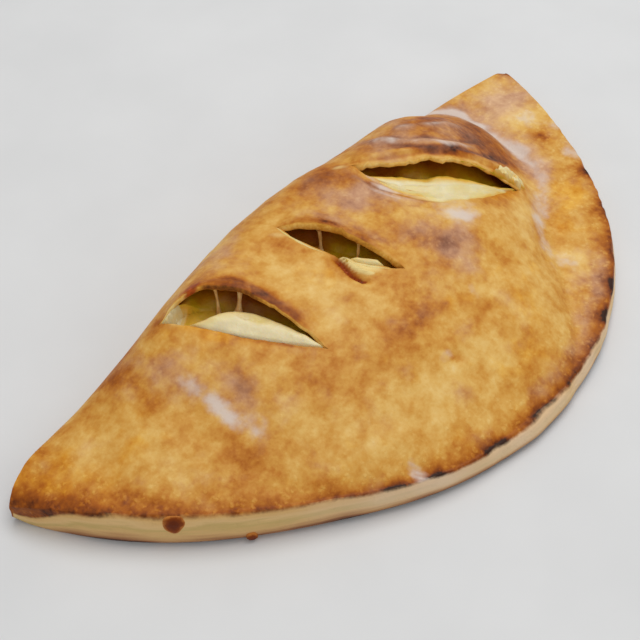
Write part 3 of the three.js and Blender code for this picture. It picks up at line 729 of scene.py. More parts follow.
def colour_zones(x, y, inland):
    """Shading values of the top crust at plan points, inland of the rim's ridge."""
    wx, wy = x + 2.2 * waves(x, y, 9, 31), y + 2.2 * waves(x, y, 9, 32)  # patches wander a little
    degrees = edge_angle(x, y)
    beyond_ridge = np.maximum(inland, 0)
    tear, flap = from_path(x, y, TEAR)[0], from_path(x, y, FLAP)[0]
    crease, down = from_path(wx, wy, CREASE)
    # Along the crease at the hump's foot lies flour dust with a painted lavender sheen highlight.
    dust_and_sheen = (0.85 + 0.22 * waves(x, y, 7, 34)) * (1 - 0.6 * smooth(down, 0.5, 1.0))

    def lines(table):
        return lip_lines(x, y, table, 1 + 0.35 * waves(x, y, 8, 36), 0.13 * waves(x, y, 11, 35))

    # A browned band along the rim, wide at the left tip and gone at the right one.
    band = mix(12.0, 4.0, smooth(degrees, -60, -25)) * (1 + 0.35 * waves(degrees * 2.6, 0, 5, 33))
    edge = 0.36 - 0.07 * smooth(degrees, -62, -45) - 0.09 * smooth(degrees, 5, 40)
    edge = (edge - 0.26 * smooth(degrees, 48, 60)) * np.exp(-((beyond_ridge / band) ** 1.4))
    char = sum(amount * bell(degrees, at, width) for at, width, amount in CHAR)
    brown = np.minimum(BASE_BROWN + spots(wx, wy, BROWNED) + edge, BROWNEST_PATCH)
    brown = np.minimum(brown + lines(SCORCHED) + streaked(x, y, "brown"), BROWNEST_LINE)
    brown = brown + char * np.exp(-beyond_ridge / CHAR_REACH) + 0.34 * bell(tear, 0, 1.2)

    mauve = spots(wx, wy, MAUVE) + lines(ASHEN) + streaked(x, y, "mauve")
    mauve += 0.8 * dust_and_sheen * bell(crease, 0, 6) + 0.22 * waves(x, y, 10, 39)
    mauve += 0.5 * smooth(degrees, -12, 5) * (1 - smooth(degrees, 26, 40)) * bell(inland, 5, 5)
    flour = spots(wx, wy, FLOUR_AND_SHEEN) + lines(FLOURED) + streaked(x, y, "flour")
    speckle = 0.25 + 0.75 * np.exp(-np.maximum(inland - 4, 0) / 12) + 0.6 * smooth(-x, 115, 140)
    speckle += 0.5 * mauve - spots(wx, wy, SMOOTH_SKIN)
    return {
        "brown": brown,
        "mauve": mauve,
        "flour": flour + dust_and_sheen * (0.75 * bell(crease, 0, 2.4) + 0.4 * bell(crease, 0, 5)),
        "cheesy": spots(wx, wy, CHEESY) + bell(flap, 0, FLAP_WIDTH),
        "amber": spots(wx, wy, AMBER) + 0.5 * smooth(-x, 118, 135),
        "saucy": spots(wx, wy, SAUCY) + 1.1 * bell(tear, 0, 1.0),
        "speckle": np.clip(speckle, 0, 1),
        "chalky": smooth(degrees, -48, -22) * (0.75 + 0.4 * waves(degrees, 0, 3, 26)),
    }


# ---- Crust ----

BACK_WALL = [(5.0, 0.0), (3.5, 0.7), (2.2, 2.0), (1.3, 3.8), (0.6, 6.0), (0.2, 8.2)]  # run in, height
# Share of the ridge's inset, share of the rim's height.
FRONT_WALL = [(1.0, 1.0), (0.86, 0.992), (0.7, 0.96), (0.5, 0.89), (0.3, 0.78), (0.14, 0.62), (0.04, 0.45),
              (0.0, 0.3), (0.06, 0.15), (0.25, 0.0)]
WALL_LEVELS = [0.997, 0.985, 0.965, 0.935, 0.895, 0.84, 0.77, 0.69, 0.60, 0.51, 0.42, 0.33, 0.25, 0.18,
               0.12, 0.07, 0.03, 0.0]  # shares of the rim's height
TUCK = 3.0  # radius of the lower edge
LEAST_CRUST = 1.2
RAGGEDNESS = (1.0, 1.0, 1.8)  # of each cut's lips
RAG_REACH, RIPPLE_REACH = 6.0, 5.0  # how far in from the lips and from the ridge these fade


def ragged(x, y):
    """Plan points of the crust, with the lips of the cuts made uneven."""
    for n, cut in enumerate(CUTS):
        b = Beside(cut, x, y)
        along, side = b.share * cut.length, 9.0 * b.is_far
        rag = 0.55 * waves(along, side, 3.1, 41 + n) + 0.3 * waves(along, side, 1.4, 44 + n)
        x, y = cut.aside(x, y, RAGGEDNESS[n] * rag * b.parted * fade(np.abs(b.away), RAG_REACH))
    return x, y


def back_wall(solid, columns):
    """The wall under the fold."""
    runs, heights = np.array(BACK_WALL).T
    x, y = columns.at(runs * columns.scale)
    y = y + 0.4 * waves(x, 0, 11, 51) * smooth(heights, 0, 3)
    zones = colour_zones(x, y, from_ridge(x, y))
    zones["brown"] += 0.16 * bell(heights, 1, 2.5)
    return solid.grid(x, y, heights, rim=2.0, **zones)


def front_wall(solid, columns, zones, border):
    """The wall from the ridge down to the base, as numbers of its points and as the points."""
    level = np.array(WALL_LEVELS)
    z = rim_height(columns.end[:, :1]) * level
    inset = np.interp(level, *np.array(FRONT_WALL)[::-1, ::-1].T)
    tucked = TUCK * (1 - np.sqrt(1 - (1 - np.clip(z / TUCK, 0, 1)) ** 2))
    groove = 0.3 * bell(level, 0.70, 0.08) - 0.3 * bell(level, 0.45, 0.2)
    ripple = rim_ripple(columns.degrees[:, None], level) - groove - tucked
    x, y = columns.at(columns.width - inset * columns.inset + ripple * columns.scale)
    # Painted shade: from the middle of the front to the right, the wall darkens towards the floor.
    painted_base_shade = 0.16 * smooth(columns.degrees, -40, -18)[:, None] * (1 - level) ** 2
    at_ridge = {name: values[:, -1:] for name, values in zones.items()}
    front = solid.grid(x, y, z, rim=level + border - painted_base_shade, **at_ridge)
    return front, np.stack([x, y, z], -1)


def pocket(solid, columns, x, y, z):
    """The ceiling, walls and floor of the hollow. Returns the numbers of the ceiling's points."""
    x, y, z = (values[columns.held, columns.rows] for values in (x, y, z))
    under = solid.grid(x, y, z, inside=1.0)
    ends = solid.grid(x[:, [0, -1]], y[:, [0, -1]], BASE, inside=1.0)
    own = np.array([k for k, column in enumerate(columns.held[:-1]) if not columns.is_cut(column)])
    solid.quads(under[own, :-1], under[own + 1, :-1], under[own + 1, 1:], under[own, 1:])
    solid.quads(under[own, 0], ends[own, 0], ends[own + 1, 0], under[own + 1, 0])
    solid.quads(under[own, -1], under[own + 1, -1], ends[own + 1, 1], ends[own, 1])
    solid.quads(ends[own, 0], ends[own, 1], ends[own + 1, 1], ends[own + 1, 0])
    solid.faces.append([ends[0, 0], *under[0], ends[0, 1]])
    solid.faces.append([ends[-1, 1], *under[-1][::-1], ends[-1, 0]])
    return under


def crust_solid(columns):
    """The crust, and the points of its front wall."""
    x, y, degrees = columns.x, columns.y, columns.degrees[:, None]
    inland = np.hypot(x - x[:, -1:], y - y[:, -1:])
    zones = colour_zones(x, y, inland)
    solid = Solid(*zones, "rim", "torn", "inside")
    top_z = crust_top(x, y) + fine_relief(x, y)
    low_z = np.minimum(ceiling(x, y), top_z - LEAST_CRUST)
    x, y = ragged(x, y)
    ripple = rim_ripple(degrees, 1.0) * columns.scale
    ripple = ripple * np.exp(-np.maximum(from_ridge(x, y), 0) / RIPPLE_REACH)
    x, y = x + columns.outward[:, :1] * ripple, y + columns.outward[:, 1:] * ripple
    # The pale side reaches up to the ridge, but ends lower near the left tip and at the right.
    border = 0.55 * smooth(-degrees, 69, 78) - 0.05 + 0.05 * waves(degrees, 0, 4, 25)
    border = border + 0.2 * smooth(degrees, 5, 40)
    top = solid.grid(x, y, top_z, rim=1 + inland / 12 + border, **zones)
    back = back_wall(solid, columns)
    front, wall = front_wall(solid, columns, zones, border)
    joined = np.concatenate([back, top, front], 1)
    a = np.array([i for i in range(len(joined) - 1) if not columns.is_cut(i)])
    solid.quads(joined[a, :-1], joined[a, 1:], joined[a + 1, 1:], joined[a + 1, :-1])
    solid.quads(joined[a, 0], joined[a + 1, 0], joined[a + 1, -1], joined[a, -1])
    solid.faces.append(joined[0][::-1].tolist())
    solid.faces.append(joined[-1].tolist())
    under = pocket(solid, columns, x, y, low_z)

    # The lips, rounded from the outside over to the ceiling.
    t = np.linspace(0, 1, LIP_STEPS + 1)[1:-1]
    for k, column in enumerate(columns.held):
        lip = columns.lip[column]
        if lip == 0:
            continue
        cut, own = CUTS[columns.cut[column]], (column, columns.rows, None)
        beside = Beside(cut, columns.x[own], columns.y[own])
        gap = beside.far if lip > 0 else beside.near
        bulge = -lip * 0.3 * (top_z[own] - low_z[own]) * np.sin(np.pi * t) ** 0.7
        bulge = bulge + 0.25 * waves(x[own] + 7 * t, y[own] - 5 * t, 1.7, 52) * np.sin(np.pi * t)
        lx, ly = cut.aside(x[own], y[own], bulge * np.minimum(1, 3 * gap))
        face_zones = {name: zones[name][own] for name in ("saucy", "cheesy")}
        face_zones["brown"] = beside.given(cut.face) + 0.12 * waves(x[own], y[own], 9, 53)
        z = mix(top_z[own], low_z[own], t)
        face = solid.grid(lx, ly, z, torn=1.0, inside=smooth(t, 0.6, 1), **face_zones)
        strip = np.concatenate([top[own], face, under[k][:, None]], 1)
        parted = np.flatnonzero((gap[:-1] > 0) | (gap[1:] > 0))
        corners = strip[parted, :-1], strip[parted, 1:], strip[parted + 1, 1:], strip[parted + 1, :-1]
        solid.quads(*(corners[::-1] if lip < 0 else corners))
    return solid.made("calzone_crust"), wall


# ---- Cheese ----

LENS_STEPS = 24  # columns across an open cut
CHEESE_STRIDE = 3  # elsewhere the filling has only each third column
HOLLOW_REACH = (40, 10)  # how far beyond the far and near lips the air pocket's colours, partly painted shade, are given


def halved(values):
    """A grid with a row added halfway between each two."""
    fine = np.empty((len(values), 2 * values.shape[1] - 1))
    fine[:, ::2] = values
    fine[:, 1::2] = (values[:, :-1] + values[:, 1:]) / 2
    return fine


def cheese_lumps(x, y):
    return 0.9 * waves(x, y, 8, 61) + 0.55 * waves(x, y, 3.6, 62) + 0.25 * waves(x, y, 1.9, 63)


def cheese_plan(columns):
    """Plan points of the filling: some of the crust's columns, and more across the open cuts."""
    def line(column):
        return np.stack([columns.x[column, columns.rows], columns.y[column, columns.rows]])

    lines = []
    for k, column in enumerate(columns.held):
        if columns.cut[column] >= 0 or k % CHEESE_STRIDE == 0 or k == len(columns.held) - 1:
            lines.append(line(column))
        if columns.is_cut(column):
            near, far = line(column), line(column + 1)
            lines += [mix(near, far, share) for share in np.arange(1, LENS_STEPS) / LENS_STEPS]
    return (halved(grid) for grid in np.stack(lines, 1))


def cheese_solid(columns):
    """The filling: it lies against the ceiling, and has sunk under the lifted lips."""
    x, y = cheese_plan(columns)
    z = cheese_top(x, y)
    room = np.clip((crust_top(x, y) - crust_thickness(x, y) - z - CLEARANCE) / 3, 0, 1)
    surface = dome(x, y) + relief(x, y)
    in_cut, under_lip, baked, brink_shading = (np.zeros_like(x) for _ in range(4))
    for cut in CUTS:
        b = Beside(cut, x, y)
        over_hollow = (b.far > 0) & (b.from_far < HOLLOW_REACH[0])
        here = over_hollow & (b.from_near < HOLLOW_REACH[1])
        in_cut = np.maximum(in_cut, b.is_open)
        under_lip = np.maximum(under_lip, b.is_far & over_hollow)
        surface = surface - b.sunk
        own, brink = b.given(cut.hollow), b.given(cut.brink)
        # The pocket's cheese is darker, partly baked and partly painted shade, and darker still further in
        # under the far lip.
        baked = np.where(here, own + 0.25 * smooth(b.from_far, 0, 7), baked)
        # Painted shade turns the cheese olive-yellow towards its brink, where it dips into the pocket.
        shaded_brink = cut.brink_shade * smooth(b.across, brink - 0.6, brink - 0.15) * (own > 0)
        brink_shading = np.where(here, shaded_brink, brink_shading)
    z = z + np.maximum(room, 0.45 * in_cut) * cheese_lumps(x, y)
    baked = baked + 0.10 * waves(x, y, 6, 65)
    white = np.minimum(baked, 0)
    # Painted shade: the cheese darkens with its depth below the crust, and it is darkened under the far
    # lip.
    sunk = smooth(surface - z + waves(x, y, 5, 64), 0.8, 6.0)
    deep = np.where(under_lip > in_cut, np.maximum(baked, 0.5), mix(white, baked, sunk))
    deep = np.maximum(deep, brink_shading * in_cut)
    solid = Solid("deep")
    top = solid.grid(x, y, z, deep=deep)
    floor = solid.grid(x[:, [0, -1]], y[:, [0, -1]], BASE + CLEARANCE, deep=1.0)
    solid.sheet(top)
    solid.quads(top[:-1, 0], top[1:, 0], floor[1:, 0], floor[:-1, 0])
    solid.quads(top[:-1, -1], floor[:-1, 1], floor[1:, 1], top[1:, -1])
    solid.quads(floor[:-1, 0], floor[1:, 0], floor[1:, 1], floor[:-1, 1])
    solid.faces.append([floor[0, 0], floor[0, 1], *top[0][::-1]])
    solid.faces.append([floor[-1, 1], floor[-1, 0], *top[-1]])
    return solid.made("calzone_cheese")


# Strings of cheese from the filling to a lip: foot and head in the plan, and radius.
STRINGS = [
    ((-58.2, -11.5, 33.0), (-56.6, -8.8, 43.0), 0.50),
    ((-54.6, -17.5, 34.0), (-50.8, -15.6, 44.0), 0.85),
    ((-12.6, -21.0, 33.5), (-10.6, -18.6, 41.5), 0.65),
    ((-8.4, -34.4, 33.0), (-6.2, -33.4, 40.5), 0.55),
]
STRING_SIDES, STRING_RINGS, STRING_DEPTH = 12, 16, 0.42
# Lumps of cheese that have curled up and baked on to the end of the last cut's far lip: x, y, radius.
CURLS = [
    (57.2, -45.4, 0.9), (60.0, -46.4, 1.3), (63.0, -47.3, 2.0), (66.2, -47.6, 2.2), (69.6, -48.2, 2.5),
    (73.2, -48.0, 2.6), (76.6, -49.4, 2.5), (78.6, -51.4, 2.0), (74.2, -51.2, 2.2), (70.6, -50.4, 1.8),
    (66.8, -49.8, 1.4), (76.8, -46.6, 1.5), (71.6, -46.0, 1.4), (80.6, -49.8, 1.3),
]
CURL_RUN, CURL_STEPS = (0.60, 1.10), 150  # share of the cut
CURL_SPREAD, CURL_ROWS = (-0.8, 9), 44  # distance from the lip
CURL_BED = -0.6  # the piece's top between the lumps, from the crust up
# Melted cheese that has spilled over a near lip: cut, share where it starts and ends, how far it
# reaches out over the crust and in over the filling, thickness, and how yellow it is.
SPILLS = [
    (2, 0.10, 0.90, 6.5, 5.0, 0.7, 0.12),
    (1, 0.50, 0.97, 2.2, 0.8, 0.4, 0.22),
    (1, -0.12, 0.50, 1.6, 0.8, 0.4, 0.22),
]
SPILL_STEPS, SPILL_ROWS = 110, 26
# Filling that has leaked through the rim and burnt on: degrees, share of the rim's height, half
# width, half height and how far it stands out, in millimetres.
DROPS = [(-57.2, 0.79, 3.8, 4.6, 0.6), (-47.3, 0.12, 2.2, 3.4, 1.4)]
DROP_RINGS, DROP_SIDES = 10, 32


def string_solid():
    solid = Solid("deep")
    t = np.linspace(0, 1, STRING_RINGS)[:, None]
    around = np.linspace(0, 2 * np.pi, STRING_SIDES + 1)[:-1]
    for n, (foot, head, radius) in enumerate(STRINGS):
        flare = radius * (1 + 0.9 * np.abs(2 * t - 1) ** 5 + 0.15 * np.sin(9 * t + n))
        x = mix(foot[0], head[0], t) + 0.3 * np.sin(np.pi * t) + flare * np.cos(around)
        y = mix(foot[1], head[1], t) + flare * np.sin(around)
        solid.closed_rings(x, y, mix(foot[2], head[2], t), deep=STRING_DEPTH)
    return solid.made("cheese_strings")


def curl_solid():
    cut = CUTS[2]
    share = np.linspace(*CURL_RUN, CURL_STEPS)[:, None]
    side = opening(share, cut.far) * cut.far[0] + np.linspace(*CURL_SPREAD, CURL_ROWS)
    x, y = cut.at(share * cut.length, side)
    wx, wy = x + 0.7 * waves(x, y, 1.8, 73), y + 0.7 * waves(x, y, 1.8, 74)
    lump = np.full_like(x, CURL_BED)
    for cx, cy, radius in CURLS:
        square = radius**2 - (wx - cx) ** 2 - (wy - cy) ** 2
        lump = np.maximum(lump, np.where(square > 0, 1.15 * np.sqrt(np.maximum(square, 0)), CURL_BED))
    crumbs = 0.6 * waves(x, y, 1.5, 71) + 0.4 * waves(x, y, 0.8, 72)
    lump = lump + crumbs * smooth(lump, -0.2, 1.0)
    lump[[0, -1]] = lump[:, [0, -1]] = CURL_BED
    under = crust_top(x, y) + fine_relief(x, y)
    solid = Solid("deep")
    # Painted shade: the cheese is olive-yellow low between the lumps and paler on their tops.
    deep = 0.54 - 0.32 * smooth(lump, 0.2, 2.2) - 0.12 * crumbs + 0.10 * waves(x, y, 2.5, 79)
    solid.slab(solid.grid(x, y, under + lump, deep=deep), solid.grid(x, y, under - 1.2, deep=deep))
    return solid.made("curled_cheese")


def spill_solid():
    solid = Solid("deep")
    for n, start, end, out, reach, thickness, tone in SPILLS:
        cut = CUTS[n]
        share = np.linspace(start, end, SPILL_STEPS)[:, None]
        along = share * cut.length
        swell = np.sin(np.pi * np.linspace(0.01, 0.99, SPILL_STEPS))[:, None] ** 0.6
        ragged = 1 + 0.24 * waves(along, 0, 8, 75 + n) + 0.1 * waves(along, 0, 2.4, 76 + n)
        outer, inner = out * swell * ragged, reach * swell
        across = np.linspace(0, 1, SPILL_ROWS)
        from_lip = mix(-outer, inner, across)
        near_edge = -opening(share, cut.near) * cut.near[0]
        room = opening(share, cut.far) * cut.far[0] - near_edge
        side = near_edge + np.minimum(from_lip, 0.5 * room)
        x, y = cut.at(along, side)
        crust_z = crust_top(x, y) + fine_relief(x, y)
        cheese_z = cheese_top(x, y) + 0.45 * cheese_lumps(x, y)
        below = mix(crust_z, np.maximum(cheese_z, crust_z - 3), smooth(from_lip, -0.4, 0.9 * inner))
        to_end = np.minimum(along - start * cut.length, end * cut.length - along)
        border = np.minimum(np.minimum(from_lip + outer, inner - from_lip), 0.8 * to_end)
        over = thickness * smooth(border, 0, 0.25 * out + 0.8) * (1 + 0.3 * waves(x, y, 3, 77)) - 0.25
        rim = 0.28 * (1 - smooth(from_lip + outer, 0, 0.4 * out + 0.8))  # a yellower border
        deep = tone + 0.14 * waves(x, y, 6, 78) + rim
        solid.slab(solid.grid(x, y, below + over, deep=deep), solid.grid(x, y, below - 0.7, deep=deep))
    return solid.made("spilled_cheese")


def drop_solid(columns, wall):
    solid = Solid("spread")
    reach = np.concatenate([np.linspace(0.04, 1, DROP_RINGS), [1, 0.04]])[:, None]
    domed = np.sqrt(1 - np.linspace(0, 1, DROP_RINGS) ** 2)
    around = np.linspace(0, 2 * np.pi, DROP_SIDES + 1)[:-1]
    ragged = 1 + 0.05 * np.sin(3 * around) + 0.03 * np.sin(5 * around + 2)
    up, aside = reach * ragged * np.sin(around), reach * ragged * np.cos(around)
    numbers = np.arange(len(columns.degrees))
    for degrees, share, half_width, half_height, height in DROPS:
        lift = np.concatenate([height * domed - 0.12, [-0.9, -0.9]])[:, None]
        column = int(np.interp(degrees, columns.degrees, numbers))
        profile = wall[column]
        run = np.concatenate([[0], np.cumsum(np.linalg.norm(np.diff(profile, axis=0), axis=1))])
        middle = np.interp(-share * profile[0, 2], -profile[:, 2], run)
        rows = np.interp(middle - half_height * up, run, np.arange(len(run)))
        lean = edge_angle(profile[:, 0], profile[:, 1]) - columns.degrees[column]
        lean = np.interp(rows, np.arange(len(lean)), lean)
        arc = half_width * aside / math.radians(EDGE_RADIUS)
        places = np.interp(degrees + arc - lean, columns.degrees, numbers)
        out = np.cross(change(wall, places, rows, 0, 0.5), change(wall, places, rows, 0.5, 0))
        out /= np.linalg.norm(out, axis=-1, keepdims=True)
        x, y, z = np.moveaxis(sampled(wall, places, rows) + out * lift[..., None], -1, 0)
        solid.closed_rings(x, y, np.maximum(z, 0.05), spread=reach)
    return solid.made("burnt_drops")


def sampled(grid, i, j):
    """Points of a grid at fractional places."""
    i = np.clip(i, 0, grid.shape[0] - 1.001)
    j = np.clip(j, 0, grid.shape[1] - 1.001)
    i0, j0 = i.astype(int), j.astype(int)
    s, t = (i - i0)[..., None], (j - j0)[..., None]
    return mix(mix(grid[i0, j0], grid[i0 + 1, j0], s), mix(grid[i0, j0 + 1], grid[i0 + 1, j0 + 1], s), t)


def change(grid, i, j, di, dj):
    """How a grid's points change from just before to just after fractional places."""
    return sampled(grid, i + di, j + dj) - sampled(grid, i - di, j - dj)


# ---- Materials ----


def colour(red, green, blue):
    """A screen colour, its parts from 0 to 255, as Blender's linear values."""
    def linear(value):
        v = value / 255
        return v / 12.92 if v <= 0.04045 else ((v + 0.055) / 1.055) ** 2.4

    return (linear(red), linear(green), linear(blue), 1.0)


class Shader:
    """A material's node tree, with a short method for each kind of node used here."""

    def __init__(self, name):
        self.material = bpy.data.materials.new(name)
        self.material.use_nodes = True
        self.tree = self.material.node_tree
        self.principled = self.tree.nodes["Principled BSDF"]
        self.place = self.node("ShaderNodeTexCoord").outputs["Object"]

    def node(self, kind, inputs=(), **settings):
        made = self.tree.nodes.new(kind)
        for name, value in settings.items():
            setattr(made, name, value)
        for name, value in dict(inputs).items():
            self.feed(made.inputs[name], value)
        return made

    def feed(self, socket, value):
        """Links or sets an input. A colour is given as on screen, from 0 to 255."""
        if isinstance(value, bpy.types.NodeSocket):
            self.tree.links.new(value, socket)
        else:
            socket.default_value = colour(*value) if socket.type == "RGBA" else value

    def surface(self, **inputs):
        """Feeds the surface's inputs, and returns the finished material."""
        for name, value in inputs.items():
            self.feed(self.principled.inputs[name.replace("_", " ")], value)
        return self.material

    def shade(self, name):
        return self.node("ShaderNodeAttribute", attribute_name=name).outputs["Fac"]

    def math(self, operation, a, b):
        return self.node("ShaderNodeMath", enumerate((a, b)), operation=operation).outputs[0]

    def times(self, a, b):
        return self.math("MULTIPLY", a, b)

    def sum(self, *terms):
        """Adds terms, each alone or as a pair with its factor."""
        total, *rest = (self.times(*term) if isinstance(term, tuple) else term for term in terms)
        for term in rest:
            total = self.math("ADD", total, term)
        return total

    def stretched(self, x, y, z):
        """The object's coordinates, scaled along each axis."""
        inputs = {"Vector": self.place, "Scale": (x, y, z)}
        return self.node("ShaderNodeMapping", inputs).outputs[0]

    def noise(self, size, detail=2.0, where=None):
        """Noise from -0.5 to 0.5 with bumps about size millimetres across."""
        inputs = {"Vector": where or self.place, "Scale": 1000 / size, "Detail": detail}
        return self.math("SUBTRACT", self.node("ShaderNodeTexNoise", inputs).outputs["Fac"], 0.5)

    def warped(self, size, amount):
        """The object's coordinates shaken by a noise, both in millimetres."""
        shake = self.node("ShaderNodeTexNoise", {"Vector": self.place, "Scale": 1000 / size})
        inputs = enumerate((shake.outputs["Color"], [amount / 1000] * 3, self.place))
        return self.node("ShaderNodeVectorMath", inputs, operation="MULTIPLY_ADD").outputs[0]

    def cells(self, size, where):
        """In cells of about size millimetres: the distance to their middle, and a random number each."""
        made = self.node("ShaderNodeTexVoronoi", {"Vector": where, "Scale": 1000 / size})
        parts = self.node("ShaderNodeSeparateColor", {"Color": made.outputs["Color"]})
        return made.outputs["Distance"], parts.outputs["Red"]

    def step(self, value, low, high):
        """Rises smoothly from 0 at low to 1 at high, which may be the smaller one."""
        inputs = {"Value": value, "From Min": low, "From Max": high}
        return self.node("ShaderNodeMapRange", inputs, interpolation_type="SMOOTHSTEP").outputs["Result"]

    def ramp(self, value, stops):
        """The colour between stops of place, red, green and blue."""
        made = self.node("ShaderNodeValToRGB", {"Fac": value})
        points = made.color_ramp.elements
        while len(points) < len(stops):
            points.new(0.5)
        for point, (at, *tint) in zip(points, stops):
            point.position = at
            point.color = colour(*tint)
        return made.outputs["Color"]

    def blend(self, share, a, b):
        made = self.node("ShaderNodeMix", {"Factor": share}, data_type="RGBA")
        for socket, value in zip([s for s in made.inputs if s.type == "RGBA"], (a, b)):
            self.feed(socket, value)
        return next(s for s in made.outputs if s.type == "RGBA")

    def bump(self, height, strength=1.0):
        """Bumps the surface by a height in millimetres."""
        inputs = {"Distance": 0.001, "Strength": strength, "Height": height}
        self.surface(Normal=self.node("ShaderNodeBump", inputs).outputs["Normal"])


# Stops of the colour ramps: place, red, green, blue.
CRUST_BROWNING = [
    (0.00, 240, 214, 162), (0.16, 233, 194, 118), (0.30, 224, 177, 94), (0.44, 211, 153, 66),
    (0.58, 194, 124, 40), (0.70, 172, 97, 18), (0.82, 143, 71, 8), (0.92, 108, 49, 6), (1.00, 50, 23, 9),
]
AMBER_BROWNING = [
    (0.20, 240, 186, 72), (0.50, 210, 136, 14), (0.72, 170, 88, 4), (1.00, 78, 34, 4),
]
# Ashen brown of baked-on flour, also used for the painted lavender sheen on the hump and at its crease.
ASHEN_BROWNING = [
    (0.20, 226, 184, 142), (0.50, 194, 144, 110), (0.75, 148, 98, 72), (1.00, 76, 44, 34),
]
FACE_COLOURS = [
    (0.10, 244, 214, 140), (0.34, 232, 182, 90), (0.52, 208, 146, 50), (0.80, 142, 82, 24),
    (1.00, 86, 44, 12),
]
# The pale side of the rim from its base up. It darkens towards the base, partly as the browner underside
# and partly as painted contact shade.
WALL_COLOURS = [
    (0.00, 84, 56, 44), (0.10, 160, 108, 74), (0.25, 198, 152, 102), (0.42, 222, 182, 122),
    (0.55, 206, 176, 112), (0.68, 230, 192, 134), (0.90, 222, 178, 112),
]
# From pale cheese to the olive and brown of the air pocket. The darker stops are partly baked cheese and
# partly painted shade.
CHEESE_COLOURS = [
    (0.00, 244, 244, 238), (0.14, 226, 210, 170), (0.26, 234, 218, 164), (0.38, 228, 204, 136),
    (0.54, 226, 178, 74), (0.70, 194, 160, 20), (0.84, 178, 122, 12), (1.00, 150, 80, 8),
]
SAUCE_COLOURS = [(0.2, 104, 38, 6), (0.8, 176, 78, 18)]
DROP_COLOURS = [(0.30, 104, 40, 2), (0.70, 132, 58, 4), (0.95, 196, 122, 52)]
# The first colour is the pale tint of flour dust and of painted sheen highlights.
FLOUR_AND_SHEEN_COLOUR, POCKET_COLOUR, CHALKY_COLOUR = (220, 206, 196), (190, 116, 16), (240, 212, 182)
CHEESE_ON_CRUST, CHEESE_ON_FACE = (236, 210, 140), (236, 208, 130)
MILKY_COLOUR, BUTTERY_COLOUR = (236, 228, 204), (230, 204, 118)
STRING_COLOURS = [(204, 152, 82), (226, 188, 128)]


def crust_material():
    s = Shader("baked_dough")
    fine, small, medium = s.noise(1.1, 3), s.noise(2.6), s.noise(5, 3)
    patchy, broad = s.noise(9), s.noise(17)
    speckle = s.shade("speckle")

    # Micro-blisters: small pale domes on browner skin.
    distance, draw = s.cells(2.0, s.warped(1.6, 2.4))
    blister = s.times(s.times(s.step(distance, 0.60, 0.10), s.step(draw, 0.2, 0.9)), speckle)
    level = s.sum(s.shade("brown"), (fine, 0.14), (small, 0.26), (medium, 0.40), (patchy, 0.32),
                  (broad, 0.42), (speckle, 0.03), (blister, -0.13))
    amber = s.step(s.sum(s.shade("amber"), (s.noise(7, 3), 1.8)), 0.15, 1.0)
    base = s.blend(s.times(amber, 0.8), s.ramp(level, CRUST_BROWNING), s.ramp(level, AMBER_BROWNING))
    # Ashen brown, and on the hump and at its crease a painted lavender sheen.
    ashen_and_sheen = s.step(s.sum(s.shade("mauve"), (s.noise(8, 3), 1.1), (small, 0.3)), 0.05, 0.95)
    base = s.blend(ashen_and_sheen, base, s.ramp(level, ASHEN_BROWNING))
    # Pale flour, in places also a painted sheen highlight, broken up by noise.
    flour_and_sheen_breakup = s.sum((s.noise(6, 5), 1.7), (patchy, 0.5))
    flour = s.step(s.sum(s.shade("flour"), (flour_and_sheen_breakup, s.step(s.shade("flour"), 0.02, 0.3))), 0.1, 1.1)
    base = s.blend(s.times(flour, 0.85), base, FLOUR_AND_SHEEN_COLOUR)
    cheesy = s.step(s.sum(s.shade("cheesy"), (medium, 0.5)), 0.15, 0.8)
    base = s.blend(cheesy, base, CHEESE_ON_CRUST)

    # The pale side of the rim, under the browned ridge, with painted contact shade towards its base.
    rim = s.shade("rim")
    streaks = s.noise(1000, 3, where=s.stretched(45, 45, 520))
    side = s.step(s.sum(rim, (medium, 0.12), (fine, 0.05)), 0.97, 0.82)
    wall = s.ramp(s.sum(rim, (streaks, 0.45), (broad, 0.2)), WALL_COLOURS)
    chalky = s.times(s.times(s.shade("chalky"), 0.7), s.step(rim, 0.15, 0.55))
    base = s.blend(side, base, s.blend(chalky, wall, CHALKY_COLOUR))

    # Cut faces and the inside of the pocket.
    torn = s.step(s.sum(s.shade("torn"), (fine, 0.5)), 0.35, 0.65)
    face = s.ramp(s.sum(s.shade("brown"), (medium, 0.5), (fine, 0.4)), FACE_COLOURS)
    base = s.blend(torn, base, s.blend(s.times(cheesy, 0.7), face, CHEESE_ON_FACE))
    saucy = s.step(s.sum(s.shade("saucy"), (fine, 0.5)), 0.3, 0.8)
    base = s.blend(saucy, base, s.ramp(s.sum(0.5, medium, fine), SAUCE_COLOURS))
    base = s.blend(s.shade("inside"), base, POCKET_COLOUR)

    s.bump(s.sum((fine, 0.10), (medium, 0.22), (blister, 0.16)), 0.8)
    rough = s.sum(0.52, (medium, 0.25), (flour, 0.25), (side, 0.2))
    return s.surface(Base_Color=base, Roughness=rough, Specular_IOR_Level=0.2)


def cheese_material():
    s = Shader("melted_cheese")
    medium = s.noise(5, 3)
    # The colour darkens deeper in the pocket: painted shade over the baked cheese.
    deep = s.sum(s.shade("deep"), (medium, 0.35))
    base = s.ramp(s.sum((deep, 0.8), 0.2), CHEESE_COLOURS)
    shallow = s.step(deep, 0.4, 0.1)
    milky = s.times(s.step(medium, -0.1, 0.25), shallow)
    base = s.blend(s.times(milky, 0.5), base, MILKY_COLOUR)
    buttery = s.times(s.step(s.noise(9, 3), 0.02, 0.25), shallow)
    base = s.blend(s.times(buttery, 0.7), base, BUTTERY_COLOUR)
    s.bump(s.sum((s.noise(1.2), 0.12), (medium, 0.3)))
    return s.surface(Base_Color=base, Roughness=0.38, Specular_IOR_Level=0.3, Subsurface_Weight=0.2,
                     Subsurface_Radius=(1.0, 0.7, 0.35), Subsurface_Scale=0.003)


